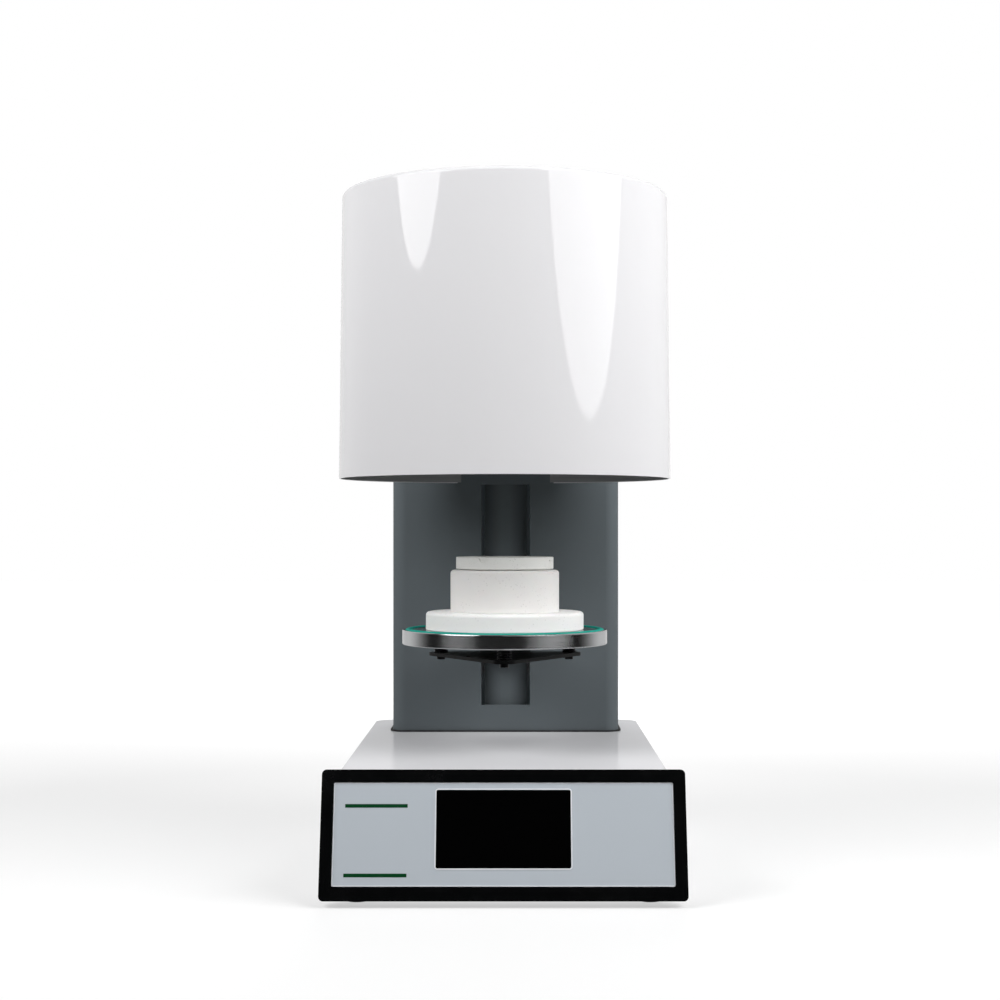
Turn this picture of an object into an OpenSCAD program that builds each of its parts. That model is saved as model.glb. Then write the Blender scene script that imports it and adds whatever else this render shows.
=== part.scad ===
// Dental lab furnace. Millimetres, Z up, front towards -Y, standing on Z = 0.
// Heights are stacked upwards from the bench, depths run backwards from the front edge.

/* [Base] */
// Width of the base housing
base_w = 272; // [250:1:292]
// Depth of the base housing, from the bezel's lower front edge
base_d = 446; // [430:1:520]
// Height of the base housing's top above the bench
base_top = 106; // [94:1:140]
// Sheet thickness of the base cover and the base pan
base_wall = 1.5; // [1:0.1:2]
// Radius of the housing's rear corners, seen from above
base_corner_r = 16; // [8:1:24]
// Height of the rubber feet
foot_h = 6; // [4:0.5:10]
// Radius of the rubber feet
foot_r = 11; // [8:0.5:13]

/* [Front] */
// Width of the front bezel
bezel_w = 300; // [294:1:320]
// Height of the bezel, measured along its slope
bezel_h = 107.4; // [94:0.1:130]
// Angle by which the front leans back
lean = 17.4; // [8:0.1:24]
// Thickness of the bezel
bezel_t = 14; // [13:0.5:18]
// Width of the bezel's side borders
bezel_side = 10; // [8:0.5:14]
// Width of the bezel's upper border
bezel_upper = 10.5; // [8:0.5:14]
// Width of the bezel's lower border
bezel_lower = 11.7; // [8:0.1:14]
// Corner radius of the bezel
bezel_r = 4; // [2:0.5:8]
// How far the front panel lies behind the bezel's face
panel_recess = 1.2; // [0.5:0.1:2]
// Thickness of the front panel
panel_t = 2; // [1.5:0.1:3]
// Width of the screen window
screen_w = 110.4; // [90:0.1:140]
// Height of the screen window
screen_h = 64; // [50:0.5:66]
// Distance from the panel's upper edge to the screen window
screen_drop = 6.3; // [6:0.1:9]

/* [Column] */
// Width of the column
col_w = 225; // [205:1:240]
// Depth of the column
col_d = 105; // [100:1:112]
// How far the column stands in from the rear edge of the base
col_inset = 8; // [7:1:31]
// Height of the column above the base
col_h = 496; // [440:1:520]
// Sheet thickness of the column
col_wall = 1.5; // [1:0.1:2]
// Radius of the column's upright corners
col_r = 13; // [8:1:16]
// Height of the slot's lower end above the base
slot_sill = 26.7; // [25:0.1:34]
// Width of the cover strip behind the slot
strip_w = 42; // [36:1:44]
// How far the cover strip is set back behind the column's face
strip_setback = 8.5; // [5:0.5:10]

/* [Head] */
// Height of the drum's lower lip above the base
head_rise = 247; // [230:1:270]
// Height of the drum
head_h = 257.5; // [235:0.5:280]
// Radius of the drum at its lower lip
head_r = 151; // [130:0.5:165]
// How much smaller the drum's radius is at its top
head_taper = 3; // [1:0.5:4]
// How deep the column's flat face cuts into the drum's outline
head_bite = 9; // [8:0.5:14]
// Radius of the drum's rounded top edge
head_round = 4; // [3:0.5:20]
// Sheet thickness of the drum
head_wall = 1.5; // [1:0.1:2]

/* [Firing chamber] */
// Height of the sealing face above the drum's lip
flange_rise = 11; // [9:0.5:14]
// Gap between the insulation plug and the muffle's bore
muffle_gap = 2.9; // [2:0.1:5]
// Wall of the muffle
muffle_wall = 3.5; // [3:0.1:4]
// Height of the muffle
muffle_h = 112; // [95:1:120]
// Thickness of the insulation above the muffle
roof_t = 45; // [36:1:50]
// Turns of the heating coil
coil_turns = 8; // [6:1:12]
// Radius of the heating coil's wire
coil_wire_r = 1.5; // [1:0.1:1.8]

/* [Lift plate] */
// Height of the lift plate's underside above the base, at rest
plate_rise = 96.6; // [84:0.1:115]
// Radius of the lift plate
plate_r = 93.5; // [80:0.5:105]
// Thickness of the lift plate
plate_h = 13.1; // [11:0.1:16]
// Width of the bare rim outside the seal ring
rim_w = 2.5; // [1.5:0.1:5]
// Width of the seal ring
seal_w = 6; // [4:0.5:7]
// How far the seal ring stands above the lift plate
seal_proud = 1.2; // [0.8:0.1:3]
// Width of the bare plate between the seal ring and the insulation disc
seal_margin = 13; // [8:0.5:18]
// Height of the insulation disc
disc_h = 16.3; // [12:0.1:19]
// Radius of the insulation plug
plug_r = 49.6; // [42:0.1:54]
// Height of the insulation plug
plug_h = 38; // [30:0.5:46]
// Width of the step between the plug and the firing table
table_step = 5.1; // [3:0.1:8]
// Height of the firing table
table_h = 11.9; // [9:0.1:15]

/* [Lift drive] */
// Gap between the arm and the lift plate, filled by the springs
spring_gap = 10.2; // [9:0.1:14]
// Outer radius of the adjuster springs
spring_r = 6.5; // [5.5:0.1:8]
// Radius of the springs' wire
spring_wire_r = 0.8; // [0.6:0.05:0.9]
// Turns of each adjuster spring
spring_turns = 4; // [3:1:4]
// Thickness of the lift arm's plate
arm_t = 3; // [2.5:0.5:5]
// Radius of the circle on which the three adjuster bolts stand
bolt_circle = 69; // [60:1:70]
// Radius of the adjuster bolts
bolt_r = 3; // [2.5:0.1:3.4]
// Distance of each guide rod from the middle
rod_x = 40; // [36:1:42]
// Radius of the guide rods
rod_r = 6; // [5:0.5:7]
// Radius of the lead screw
screw_r = 6; // [5:0.5:7]
// Depth of the carriage block
carriage_d = 40; // [34:1:42]

/* [Rear] */
// Length of the hose nipple behind the housing
nipple_len = 20; // [14:1:30]
// Radius of the hose nipple's barbs
nipple_r = 5; // [4:0.5:6]
// Side of the square cooling fan
fan_w = 50; // [40:1:54]
// Number of fan blades
fan_blades = 7; // [5:1:9]
// Angle to which the mains switch rests
rocker_tilt = 10; // [6:1:14]

/* [Hidden] */

$fn = 64;
eps = 0.01;
fit = 0.05;        // radial clearance of a running fit
gap = 0.3;         // clearance between parts that only lie side by side

// The whole depth, nipple included, is centred on Y = 0
front_y = -(base_d + nipple_len) / 2;
rear_y = front_y + base_d;

// Base
pan_top = foot_h + base_wall;
bezel_back = bezel_t / cos(lean);
panel_w = bezel_w - 2 * bezel_side;
panel_h = bezel_h - bezel_upper - bezel_lower;
panel_ledge = 3;
panel_y = bezel_lower + panel_h / 2;
panel_back = -panel_recess - panel_t;
panel_corner_r = 1.5;
screen_y = bezel_lower + panel_h - screen_drop - screen_h / 2;
window_h = base_top - foot_h - 24;
rear_window_z = foot_h + 12 + window_h / 2;
rear_inner_y = rear_y - base_wall;
rear_panel_t = 2;
rear_panel_y = rear_inner_y - rear_panel_t;
foot_x = base_w / 2 - 15;
foot_front_y = front_y + 36;
foot_rear_y = rear_y - 30;

// Column
col_back_y = rear_y - col_inset;
col_y = col_back_y - col_d;
gasket_t = 1.5;
gasket_lip = 2.5;
col_z = base_top + gasket_t;
col_top = base_top + col_h;
slit_w = 3.1;
slot_w = strip_w + 2 * slit_w;
slot_bottom = base_top + slot_sill;
slot_clear = 1;
hatch_w = col_w - 2 * col_r - 20;
hatch_margin = 12;
hatch_lip = 8;
cap_t = 2;

// Head and chamber
head_reach = head_r - head_bite;
head_r_top = head_r - head_taper;
axis_y = col_y - head_reach;
lip_z = base_top + head_rise;
head_top = lip_z + head_h;
flange_z = lip_z + flange_rise;
base_plate_t = 3;
frame_z = flange_z + base_plate_t;
frame_t = 4;
seal_r = plate_r - rim_w - seal_w / 2;
disc_r = seal_r - seal_w / 2 - seal_margin;
table_r = plug_r - table_step;
flange_bore = disc_r + 4;
flange_step_z = frame_z + frame_t;
flange_boss_r = plate_r + 4.5;
can_z = flange_step_z + 4;
can_r = flange_boss_r + 2;
can_wall = 1.2;
closed_disc_top = flange_z - gap - seal_proud + disc_h;
throat_z = max(can_z + 1, closed_disc_top + 2.1);
muffle_r = plug_r + muffle_gap;
throat_r = muffle_r + 0.5;
muffle_z = throat_z + 8.5;
can_top = muffle_z + muffle_h + roof_t;
lid_t = 4;
lid_top = can_top + lid_t;
muffle_outer = muffle_r + muffle_wall;
coil_gap = 0.8;
coil_r = muffle_outer + coil_gap + coil_wire_r;
coil_bore = coil_r + coil_wire_r + coil_gap;
insulation_r = can_r - can_wall - gap;

// Lift plate stack
plate_z = base_top + plate_rise;
plate_top = plate_z + plate_h;
seal_top = plate_top + seal_proud;
groove_depth = 3;
disc_top = plate_top + disc_h;
plug_top = disc_top + plug_h;
table_top = plug_top + table_h;

// Lift arm and its travel
arm_top = plate_z - spring_gap;
arm_bottom = arm_top - arm_t;
cheek_bottom = arm_bottom - 9.8;
cheek_top = arm_top + 11.3;
cheek_t = 2.2;
cheek_x = (strip_w + slot_w) / 4;
lift_up = flange_z - seal_top - gap;
lift_down = cheek_bottom - slot_bottom - slot_clear;
slot_top = cheek_top + lift_up + slot_clear;
arm_corner_r = 11;
arm_corners = [for (a = [-90, 30, 150]) bolt_circle * [cos(a), sin(a)]];
bolt_head_r = 4;
bolt_head_h = 3.5;

// Lift drive
drive_y = col_y + 52;
carriage_w = 2 * (rod_x + 15);
carriage_bottom = cheek_bottom - 17.7;
carriage_top = seal_top - gap;
carriage_front = drive_y - carriage_d / 2;
bushing_r = rod_r + 4.5;
nut_r = screw_r + 5;
nut_flange_r = screw_r + 11;
nut_flange_t = 6;
spine_t = 4;
spine_y = drive_y + 29;
spine_w = carriage_w + 20;
spine_sole_d = 44;
spine_front_y = spine_y - spine_sole_d;
spine_flange = 20;
spine_top = flange_step_z + 190;
block_h = 12;
block_d = carriage_d - 4;
neck_chord = sqrt(pow(head_r_top, 2) - pow(head_reach - gap, 2));
neck_window = neck_chord - 1.5;
neck_half = neck_window - 1;
lower_block_top = slot_bottom + slot_clear - (cheek_bottom - carriage_bottom) - 1;
lower_block_z = lower_block_top - block_h;
upper_block_z = flange_step_z;
upper_block_top = upper_block_z + block_h;
coupling_r = 10;
coupling_h = 23;
coupling_z = lower_block_z - coupling_h - 2;
mount_top = coupling_z - 2;
mount_t = 4;
motor_w = 56.4;
motor_h = 52;
motor_top = mount_top - mount_t;
motor_boss_r = 19;
motor_shaft_r = 3.2;

// Rear fittings, seen from behind with X running to the left
inlet_x = 89;
inlet_z = foot_h + 39;
switch_z = foot_h + 74;
fuse_x = 54;
outlet_x = 8;
nipple_x = -28;
fan_x = -90;
socket_w = 28;
socket_h = 20.5;
socket_flange_w = 48;
socket_flange_h = 28;
socket_flange_t = 3;
socket_pins = [[-7, -1.5], [0, 1.8], [7, -1.5]];
rocker_w = 9;
rocker_h = 17;
frame_lip = 2;
pivot_r = 1.5;
fuse_r = 6;
fuse_rise = 14;
nipple_stem_r = 4;
fan_z = foot_h + 50;
fan_bore = fan_w / 2 - 1.5;
fan_t = 15;
fan_shaft_r = 1.5;

// Vacuum hose: up behind the spine, forward over it, down to the chamber lid
hose_r = 4;
hose_bend = 16;
hose_back_y = (spine_y + spine_t + col_back_y - col_wall) / 2;
hose_bottom = inlet_z + 27;
hose_top = lid_top + 24;
hose_front_y = axis_y + 38;
port_h = 6;
port_spot = [nipple_x, hose_front_y - axis_y];

// Route of the vacuum hose in the plane X = nipple_x, as [y, z, direction] steps
hose_steps = 5;
hose_rise = hose_top - hose_bend - hose_bottom;
hose_run = hose_back_y - hose_front_y - 2 * hose_bend;
hose_route = concat(
    [for (i = [0 : 20]) [hose_back_y, hose_bottom + hose_rise * i / 21, 90]],
    [for (i = [0 : hose_steps]) let (a = 90 * i / hose_steps)
        [hose_back_y - hose_bend * (1 - cos(a)), hose_top - hose_bend * (1 - sin(a)), 90 + a]],
    [for (i = [1 : 6]) [hose_back_y - hose_bend - hose_run * i / 7, hose_top, 180]],
    [for (i = [0 : hose_steps]) let (a = 90 * i / hose_steps)
        [hose_front_y + hose_bend * (1 - sin(a)), hose_top - hose_bend * (1 - cos(a)),
            180 + a]],
    [[hose_front_y, lid_top + port_h, 270]]
);

// What passes through the chamber's lid besides the port
probe_r = 3;
lead_r = 2.5;
lead_spots = [[30, -22], [-30, -22]];

// Head frame
cheek_plate_t = 4;

// A flat rectangle with true round corners, centred
module rounded_rect(w, h, r) {
    square([w - 2 * r, h], center = true);
    square([w, h - 2 * r], center = true);
    for (sx = [-1, 1], sy = [-1, 1])
        translate([sx * (w / 2 - r), sy * (h / 2 - r)]) circle(r);
}

// A flat polygon grown by r with true round corners; its points run anticlockwise
module rounded_polygon(points, r) {
    polygon(points);
    for (i = [0 : len(points) - 1]) {
        p = points[i];
        q = points[(i + 1) % len(points)];
        out = [q.y - p.y, p.x - q.x] / norm(q - p) * r;
        polygon([p, p + out, q + out, q]);
        translate(p) circle(r);
    }
}

// A slot with round ends, centred, running along Y
module slot(w, h) {
    square([w, h - w], center = true);
    for (s = [-1, 1]) translate([0, s * (h - w) / 2]) circle(w / 2);
}

// A block that stands on z and is centred in X and Y
module block(w, d, h, z = 0) {
    translate([-w / 2, -d / 2, z]) cube([w, d, h]);
}

// A cylinder that stands on z
module post(r, h, z = 0) {
    translate([0, 0, z]) cylinder(r = r, h = h);
}

// A ring that stands on z
module ring(r_out, r_in, h, z = 0) {
    translate([0, 0, z]) difference() {
        cylinder(r = r_out, h = h);
        translate([0, 0, -1]) cylinder(r = r_in, h = h + 2);
    }
}

// A disc standing on z, with its upper edge rounded by r_up and its lower one by r_low
module round_disc(radius, h, z, r_up, r_low) {
    translate([0, 0, z]) rotate_extrude() {
        square([radius - r_up, h]);
        translate([0, r_low]) square([radius, h - r_up - r_low]);
        square([radius - r_low, r_low + eps]);
        translate([radius - r_up, h - r_up]) circle(r_up);
        translate([radius - r_low, r_low]) circle(r_low);
    }
}

// A triangulated tube: one ring of points for each step, with closed ends
module tube(rings) {
    n = len(rings[0]);
    last = len(rings) - 1;
    sides = [for (i = [0 : last - 1], k = [0 : n - 1], half = [0, 1])
        let (a = i * n + k, b = i * n + (k + 1) % n)
        half == 0 ? [a, b, b + n] : [a, b + n, a + n]];
    start = [for (k = [1 : n - 2]) [0, k + 1, k]];
    end = [for (k = [1 : n - 2]) [last * n, last * n + k, last * n + k + 1]];
    polyhedron(points = [for (r = rings) each r], faces = concat(sides, start, end));
}

// The rings of a helix round Z, from z0 to z1
function helix_rings(radius, wire, turns, z0, z1, steps, sides) =
    [for (i = [0 : turns * steps])
        let (a = 360 * i / steps, z = z0 + (z1 - z0) * i / (turns * steps))
        [for (k = [0 : sides - 1])
            let (b = -360 * k / sides, r = radius + wire * cos(b))
            [r * cos(a), r * sin(a), z + wire * sin(b)]]];

// Least gap between neighbouring turns of a helix
function helix_gap(rise, turns, wire) = rise / turns - 2 * wire;

// What lies on the leaning front: X across, Y up the slope, Z out of the front face
module on_slope() {
    translate([0, front_y, foot_h]) rotate([90 - lean, 0, 0]) children();
}

// A rounded slab on the slope, centred at height y, from depth z0 to z1
module slope_slab(w, h, r, y, z0, z1) {
    translate([0, y, z0]) linear_extrude(z1 - z0) rounded_rect(w, h, r);
}

module front_bezel() {
    color("#0b0b0c") difference() {
        on_slope() difference() {
            slope_slab(bezel_w, bezel_h, bezel_r, bezel_h / 2, -bezel_t, 0);
            slope_slab(panel_w, panel_h, panel_corner_r, panel_y, panel_back, 1);
            slope_slab(panel_w - 2 * panel_ledge, panel_h - 2 * panel_ledge, panel_corner_r,
                panel_y, -bezel_t - 1, panel_back + eps);
        }
        // Its foot is cut level
        translate([-bezel_w, front_y - 10, foot_h - 40]) cube([2 * bezel_w, 80, 40]);
    }
}

module front_panel() {
    color("#b2bac2") on_slope() difference() {
        slope_slab(panel_w - gap, panel_h - gap, panel_corner_r - gap / 2, panel_y, panel_back,
            -panel_recess);
        slope_slab(screen_w + gap, screen_h + gap, panel_corner_r, screen_y, panel_back - 1, 1);
    }
}

module screen_glass() {
    glass_proud = 0.4;
    color("#020203") on_slope()
        slope_slab(screen_w, screen_h, panel_corner_r - gap / 2, screen_y, panel_back,
            glass_proud - panel_recess);
}

module display_module() {
    module_t = 7;
    board_t = 1.6;
    board_back = panel_back - module_t - board_t;
    color("#2c5a3c") on_slope() {
        slope_slab(screen_w + 6, screen_h + 3, 1, screen_y, panel_back - module_t, panel_back);
        slope_slab(screen_w + 14, screen_h, 1, screen_y, board_back, panel_back - module_t);
        translate([-20, screen_y - 8, board_back - 4]) cube([34, 20, 4 + eps]);
        translate([24, screen_y - 20, board_back - 6]) cube([22, 8, 6 + eps]);
    }
}

// Side outline of the housing, behind the bezel, drawn in by inset and, where it is open,
// reaching over its front and lower edges
module housing_side(inset, over) {
    top = base_top - inset;
    low = foot_h - over;
    y_low = front_y + bezel_back - over;
    polygon([
        [y_low + (low - foot_h) * tan(lean), low], [rear_y - inset, low],
        [rear_y - inset, top], [y_low + (top - foot_h) * tan(lean), top]
    ]);
}

// The housing's closed form: its side outline and its plan outline together
module housing(inset, over) {
    r = base_corner_r - inset;
    half = base_w / 2 - inset;
    intersection() {
        translate([-half - 5, 0, 0]) rotate([90, 0, 90]) linear_extrude(2 * half + 10)
            housing_side(inset, over);
        translate([0, 0, -5]) linear_extrude(base_top + 10) {
            translate([-half, front_y - 10]) square([2 * half, base_d + 10 - inset - r]);
            translate([-half + r, front_y - 10]) square([2 * (half - r), base_d + 10 - inset]);
            for (s = [-1, 1]) translate([s * (half - r), rear_y - inset - r]) circle(r);
        }
    }
}

module base_cover() {
    hole_w = spine_w + 40;
    ledge_front = 12;
    ledge_back = 5;
    vent_y = front_y + base_d * 0.55;
    color("#e9e9ea") difference() {
        housing(0, 0);
        housing(base_wall, 2);
        translate([-hole_w / 2, col_y + ledge_front, base_top - 5])
            cube([hole_w, col_d - ledge_front - ledge_back, 10]);
        translate([0, rear_y, rear_window_z]) rotate([90, 0, 0])
            linear_extrude(10, center = true) rounded_rect(base_w - 42, window_h, 3);
        for (s = [-1, 1]) translate([s * base_w / 2, vent_y, 0]) side_vents();
    }
}

// Ventilation slots low in one side wall
module side_vents() {
    count = 8;
    pitch = 12;
    for (i = [0 : count - 1]) translate([0, (i - (count - 1) / 2) * pitch, foot_h + 26])
        rotate([90, 0, 90]) linear_extrude(20, center = true) slot(4, 22);
}

module base_pan() {
    inside = base_w / 2 - base_wall - gap;
    rim_h = 8;
    pan_front = front_y + bezel_back + rim_h * tan(lean) + gap;
    pan_back = rear_inner_y - gap;
    r = base_corner_r - base_wall - gap;
    vent_x = 85;
    vent_y = front_y + 150;
    vent_pitch = 14;
    color("#8c8f92") difference() {
        pan_form(inside, pan_front, pan_back, r, foot_h, rim_h);
        pan_form(inside - base_wall, pan_front + base_wall, pan_back - base_wall,
            r - base_wall, pan_top, rim_h + 1);
        for (s = [-1, 1], i = [0 : 6])
            translate([s * vent_x, vent_y + i * vent_pitch, foot_h - 1]) linear_extrude(4)
                rotate(90) slot(4, 50);
    }
}

// The pan's closed form: square at the front, round corners at the rear
module pan_form(half, y0, y1, r, z, h) {
    translate([0, 0, z]) linear_extrude(h) {
        translate([-half, y0]) square([2 * half, y1 - y0 - r]);
        translate([-half + r, y0]) square([2 * (half - r), y1 - y0]);
        for (s = [-1, 1]) translate([s * (half - r), y1 - r]) circle(r);
    }
}

module rubber_feet() {
    screw_hole_r = 3.5;
    screw_hole_h = 2;
    color("#161616") for (s = [-1, 1], y = [foot_front_y, foot_rear_y])
        translate([s * foot_x, y, 0]) rotate_extrude() difference() {
            polygon([[0, 0], [foot_r - 1, 0], [foot_r, 1], [foot_r - 1.5, foot_h], [0, foot_h]]);
            translate([-1, -1]) square([screw_hole_r + 1, screw_hole_h + 1]);
        }
}

module transformer() {
    core_h = 36;
    core_r = 40;
    hole_r = 14;
    plate_r = 24;
    plate_t = 2.5;
    stud_r = 4;
    stud_h = 8;
    y = min(front_y + 265, spine_front_y - gap - core_r);
    color("#c7a23a") translate([-72, y, pan_top]) {
        rotate_extrude() translate([(core_r + hole_r) / 2, core_h / 2])
            rounded_rect(core_r - hole_r, core_h, 6);
        post(hole_r + 2, core_h + 2);
        post(plate_r, plate_t, core_h);
        post(stud_r, stud_h, core_h);
    }
}

module control_board() {
    w = 130;
    d = 100;
    standoff_h = 8;
    standoff_inset = 6;
    board_t = 1.6;
    parts_z = standoff_h + board_t - eps;
    color("#1f6b3d") translate([48, front_y + 165, pan_top]) {
        block(w, d, board_t, standoff_h);
        for (sx = [-1, 1], sy = [-1, 1])
            translate([sx * (w / 2 - standoff_inset), sy * (d / 2 - standoff_inset), 0])
                post(3, standoff_h + eps);
        // Plugs, processor, small relay and smoothing capacitors
        for (i = [0 : 3]) translate([-45 + i * 26, 36, 0]) block(18, 10, 12, parts_z);
        translate([-30, -10, 0]) block(26, 26, 3, parts_z);
        translate([15, -15, 0]) block(18, 12, 4, parts_z);
        for (i = [0 : 2]) translate([38, -34 + i * 18, 0]) post(6, 20, parts_z);
    }
}

module solid_state_relay() {
    sink_w = 70;
    sink_d = 60;
    sink_h = 14;
    fin_pitch = 10;
    y = min(front_y + 275, spine_front_y - gap - sink_d / 2);
    color("#2b2b2e") translate([88, y, pan_top]) {
        block(sink_w, sink_d, 4);
        for (i = [-3 : 3]) translate([i * fin_pitch, 0, 0]) block(2, sink_d, sink_h);
        translate([0, 0, sink_h - eps]) block(45, sink_d - 2, 23);
    }
}

module rear_panel() {
    w = base_w - 36;
    h = window_h + 6;
    color("#3a3d40") difference() {
        translate([0, rear_inner_y, rear_window_z]) rotate([90, 0, 0])
            linear_extrude(rear_panel_t) rounded_rect(w, h, 3);
        for (x = [inlet_x, outlet_x]) rear_cut(x, inlet_z)
            square([socket_w + gap, socket_h + gap], center = true);
        rear_cut(inlet_x, switch_z)
            square([rocker_w + 2 * frame_lip + gap, rocker_h + 2 * frame_lip + gap],
                center = true);
        for (s = [-1, 1]) rear_cut(fuse_x, inlet_z + s * fuse_rise) circle(fuse_r + fit);
        rear_cut(nipple_x, inlet_z) circle(nipple_stem_r + fit);
        rear_cut(fan_x, fan_z) fan_grille();
    }
}

// Cuts a flat form, given at x and z, through the rear panel
module rear_cut(x, z) {
    translate([x, rear_inner_y, z]) rotate([90, 0, 0]) linear_extrude(20, center = true)
        children();
}

// Ring-shaped slots in front of the fan, with four spokes left standing
module fan_grille() {
    slot_t = 3.6;
    pitch = 5;
    spoke_w = 3;
    for (i = [1 : 4]) let (r = fan_bore - i * pitch) difference() {
        circle(r + slot_t);
        circle(r);
        for (a = [45, 135]) rotate(a) square([spoke_w, 3 * fan_bore], center = true);
    }
}

// A chassis socket's flange and body, face towards the rear, with the cavity cut by children
module chassis_socket(depth) {
    difference() {
        union() {
            translate([0, socket_flange_t, 0]) rotate([90, 0, 0])
                linear_extrude(socket_flange_t)
                    rounded_rect(socket_flange_w, socket_flange_h, 4);
            translate([-socket_w / 2, -depth, -socket_h / 2])
                cube([socket_w, depth + eps, socket_h]);
        }
        children();
    }
}

module power_inlet() {
    depth = 26;
    cavity_d = 16;
    color("#1a1a1a") translate([inlet_x, rear_inner_y, inlet_z]) {
        chassis_socket(depth) translate([0, socket_flange_t + 1, 0]) rotate([90, 0, 0])
            linear_extrude(cavity_d + socket_flange_t + 1) polygon([
                [-12.2, -8.2], [12.2, -8.2], [12.2, 3.6], [7.6, 8.2], [-7.6, 8.2], [-12.2, 3.6]
            ]);
        for (p = socket_pins)
            translate([p.x - 1, -cavity_d - eps, p.y - 2.5]) cube([2, 14, 5]);
    }
}

module pump_outlet() {
    depth = 20;
    color("#1a1a1a") translate([outlet_x, rear_inner_y, inlet_z])
        chassis_socket(depth) {
            translate([0, socket_flange_t + 1, 0]) rotate([90, 0, 0])
                linear_extrude(socket_flange_t + 1) difference() {
                    square([24.4, 16.6], center = true);
                    square([22, 14.2], center = true);
                }
            for (p = socket_pins)
                translate([p.x - 1.3, -12, p.y - 3]) cube([2.6, 30, 6]);
        }
}

module switch_frame() {
    depth = 14;
    flange_t = 1.8;
    w = rocker_w + 2 * frame_lip;
    h = rocker_h + 2 * frame_lip;
    color("#141414") translate([inlet_x, rear_inner_y, switch_z]) difference() {
        union() {
            translate([0, flange_t, 0]) rotate([90, 0, 0]) linear_extrude(flange_t)
                rounded_rect(w + 5, h + 5, 2);
            translate([-w / 2, -depth, -h / 2]) cube([w, depth + eps, h]);
        }
        translate([-rocker_w / 2 - gap, -depth + 4, -rocker_h / 2 - 1])
            cube([rocker_w + 2 * gap, 40, rocker_h + 2]);
        translate([-w, -2, 0]) rotate([0, 90, 0]) cylinder(r = pivot_r + fit, h = 2 * w);
    }
}

module switch_rocker() {
    color("#b01818") translate([inlet_x, rear_inner_y - 2, switch_z]) {
        rotate([90, 0, 90]) rotate(rocker_tilt) translate([0, 0, -rocker_w / 2])
            linear_extrude(rocker_w) polygon([
                [-2, -rocker_h / 2 + 1.4], [5.4, -rocker_h / 2 + 0.8], [3.4, 0],
                [5.4, rocker_h / 2 - 0.8], [-2, rocker_h / 2 - 1.4], [-4, 3], [-4, -3]
            ]);
        translate([-rocker_w / 2 - frame_lip + 0.2, 0, 0]) rotate([0, 90, 0])
            cylinder(r = pivot_r, h = rocker_w + 2 * frame_lip - 0.4);
    }
}

module fuse_holders() {
    body_depth = 20;
    knob_h = 10;
    color("#1c1c1c") for (s = [-1, 1])
        translate([fuse_x, rear_inner_y, inlet_z + s * fuse_rise]) rotate([-90, 0, 0]) {
            post(fuse_r, body_depth + 1, -body_depth);
            difference() {
                union() {
                    post(fuse_r + 2, 2.5);
                    post(fuse_r + 0.2, knob_h);
                }
                translate([0, 0, knob_h - 1]) block(1.4, 9, 3);
            }
        }
}

module hose_nipple() {
    barb_len = 4;
    barbs = 3;
    inner = 8;
    tip = nipple_len + base_wall;
    color("#c3a35c") translate([nipple_x, rear_inner_y, inlet_z]) rotate([-90, 0, 0])
        difference() {
            union() {
                post(nipple_stem_r, inner + eps, -inner);
                post(nipple_stem_r + 4, 4, base_wall + gap);
                post(nipple_r - 1, tip);
                for (i = [1 : barbs]) translate([0, 0, tip - i * barb_len])
                    cylinder(r1 = nipple_r, r2 = nipple_r - 1.2, h = barb_len);
                post(nipple_stem_r + 2.5, base_wall + gap + eps);
            }
            post(nipple_r - 2.4, tip + inner + 2, -inner - 1);
        }
}

module vacuum_valve() {
    body_d = 14;
    y1 = rear_panel_y - 6;
    color("#5d6166") translate([nipple_x, y1 - body_d / 2, 0]) difference() {
        union() {
            block(26, body_d, 28, inlet_z - 14);
            translate([0, body_d / 2 + 3, inlet_z]) rotate([90, 0, 0])
                cylinder(r = 6.5, h = 6, center = true);
            translate([10, 0, 0]) post(6, 18, inlet_z + 14 - eps);
            translate([0, hose_back_y - y1 + body_d / 2, 0])
                post(hose_r + 1, hose_bottom - inlet_z - 10, inlet_z + 10);
        }
        translate([0, body_d / 2 + 3, inlet_z]) rotate([90, 0, 0])
            cylinder(r = nipple_stem_r + fit, h = 8, center = true);
    }
}

module vacuum_hose() {
    sides = 10;
    color("#202224") tube([for (p = hose_route) [for (k = [0 : sides - 1])
        let (b = 360 * k / sides)
        [nipple_x + hose_r * cos(b), p.x - hose_r * sin(b) * sin(p.z),
            p.y + hose_r * sin(b) * cos(p.z)]]]);
}

module fan_frame() {
    bore_d = fan_t + 2;
    color("#1b1b1c") translate([fan_x, rear_panel_y, fan_z]) rotate([90, 0, 0]) {
        difference() {
            linear_extrude(fan_t) rounded_rect(fan_w, fan_w, 4);
            post(fan_bore, bore_d, -1);
            for (sx = [-1, 1], sy = [-1, 1])
                translate([sx * (fan_w / 2 - 5), sy * (fan_w / 2 - 5), 0]) post(2.2, bore_d, -1);
        }
        difference() {
            union() {
                post(11, 2, fan_t - 2);
                for (a = [0 : 90 : 270]) rotate(a) translate([9, -1.5, fan_t - 2])
                    cube([fan_bore - 8, 3, 2]);
                post(4, 5, fan_t - 6.5);
            }
            post(fan_shaft_r + fit, 10, fan_t - 8);
        }
    }
}

module fan_rotor() {
    hub_r = 10.5;
    tip_r = fan_bore - 0.8;
    color("#26272a") translate([fan_x, rear_panel_y, fan_z]) rotate([90, 0, 0]) {
        difference() {
            post(hub_r, fan_t - 5, 2);
            post(hub_r - 1.5, fan_t, 4);
        }
        post(fan_shaft_r, fan_t - 5, 3);
        for (i = [0 : fan_blades - 1]) rotate(360 * i / fan_blades)
            translate([hub_r - 0.4, 0, fan_t / 2 - 0.5]) rotate([35, 0, 0])
                translate([0, -5.5, -0.6]) cube([tip_r - hub_r - 0.6, 11, 1.2]);
    }
}

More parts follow.
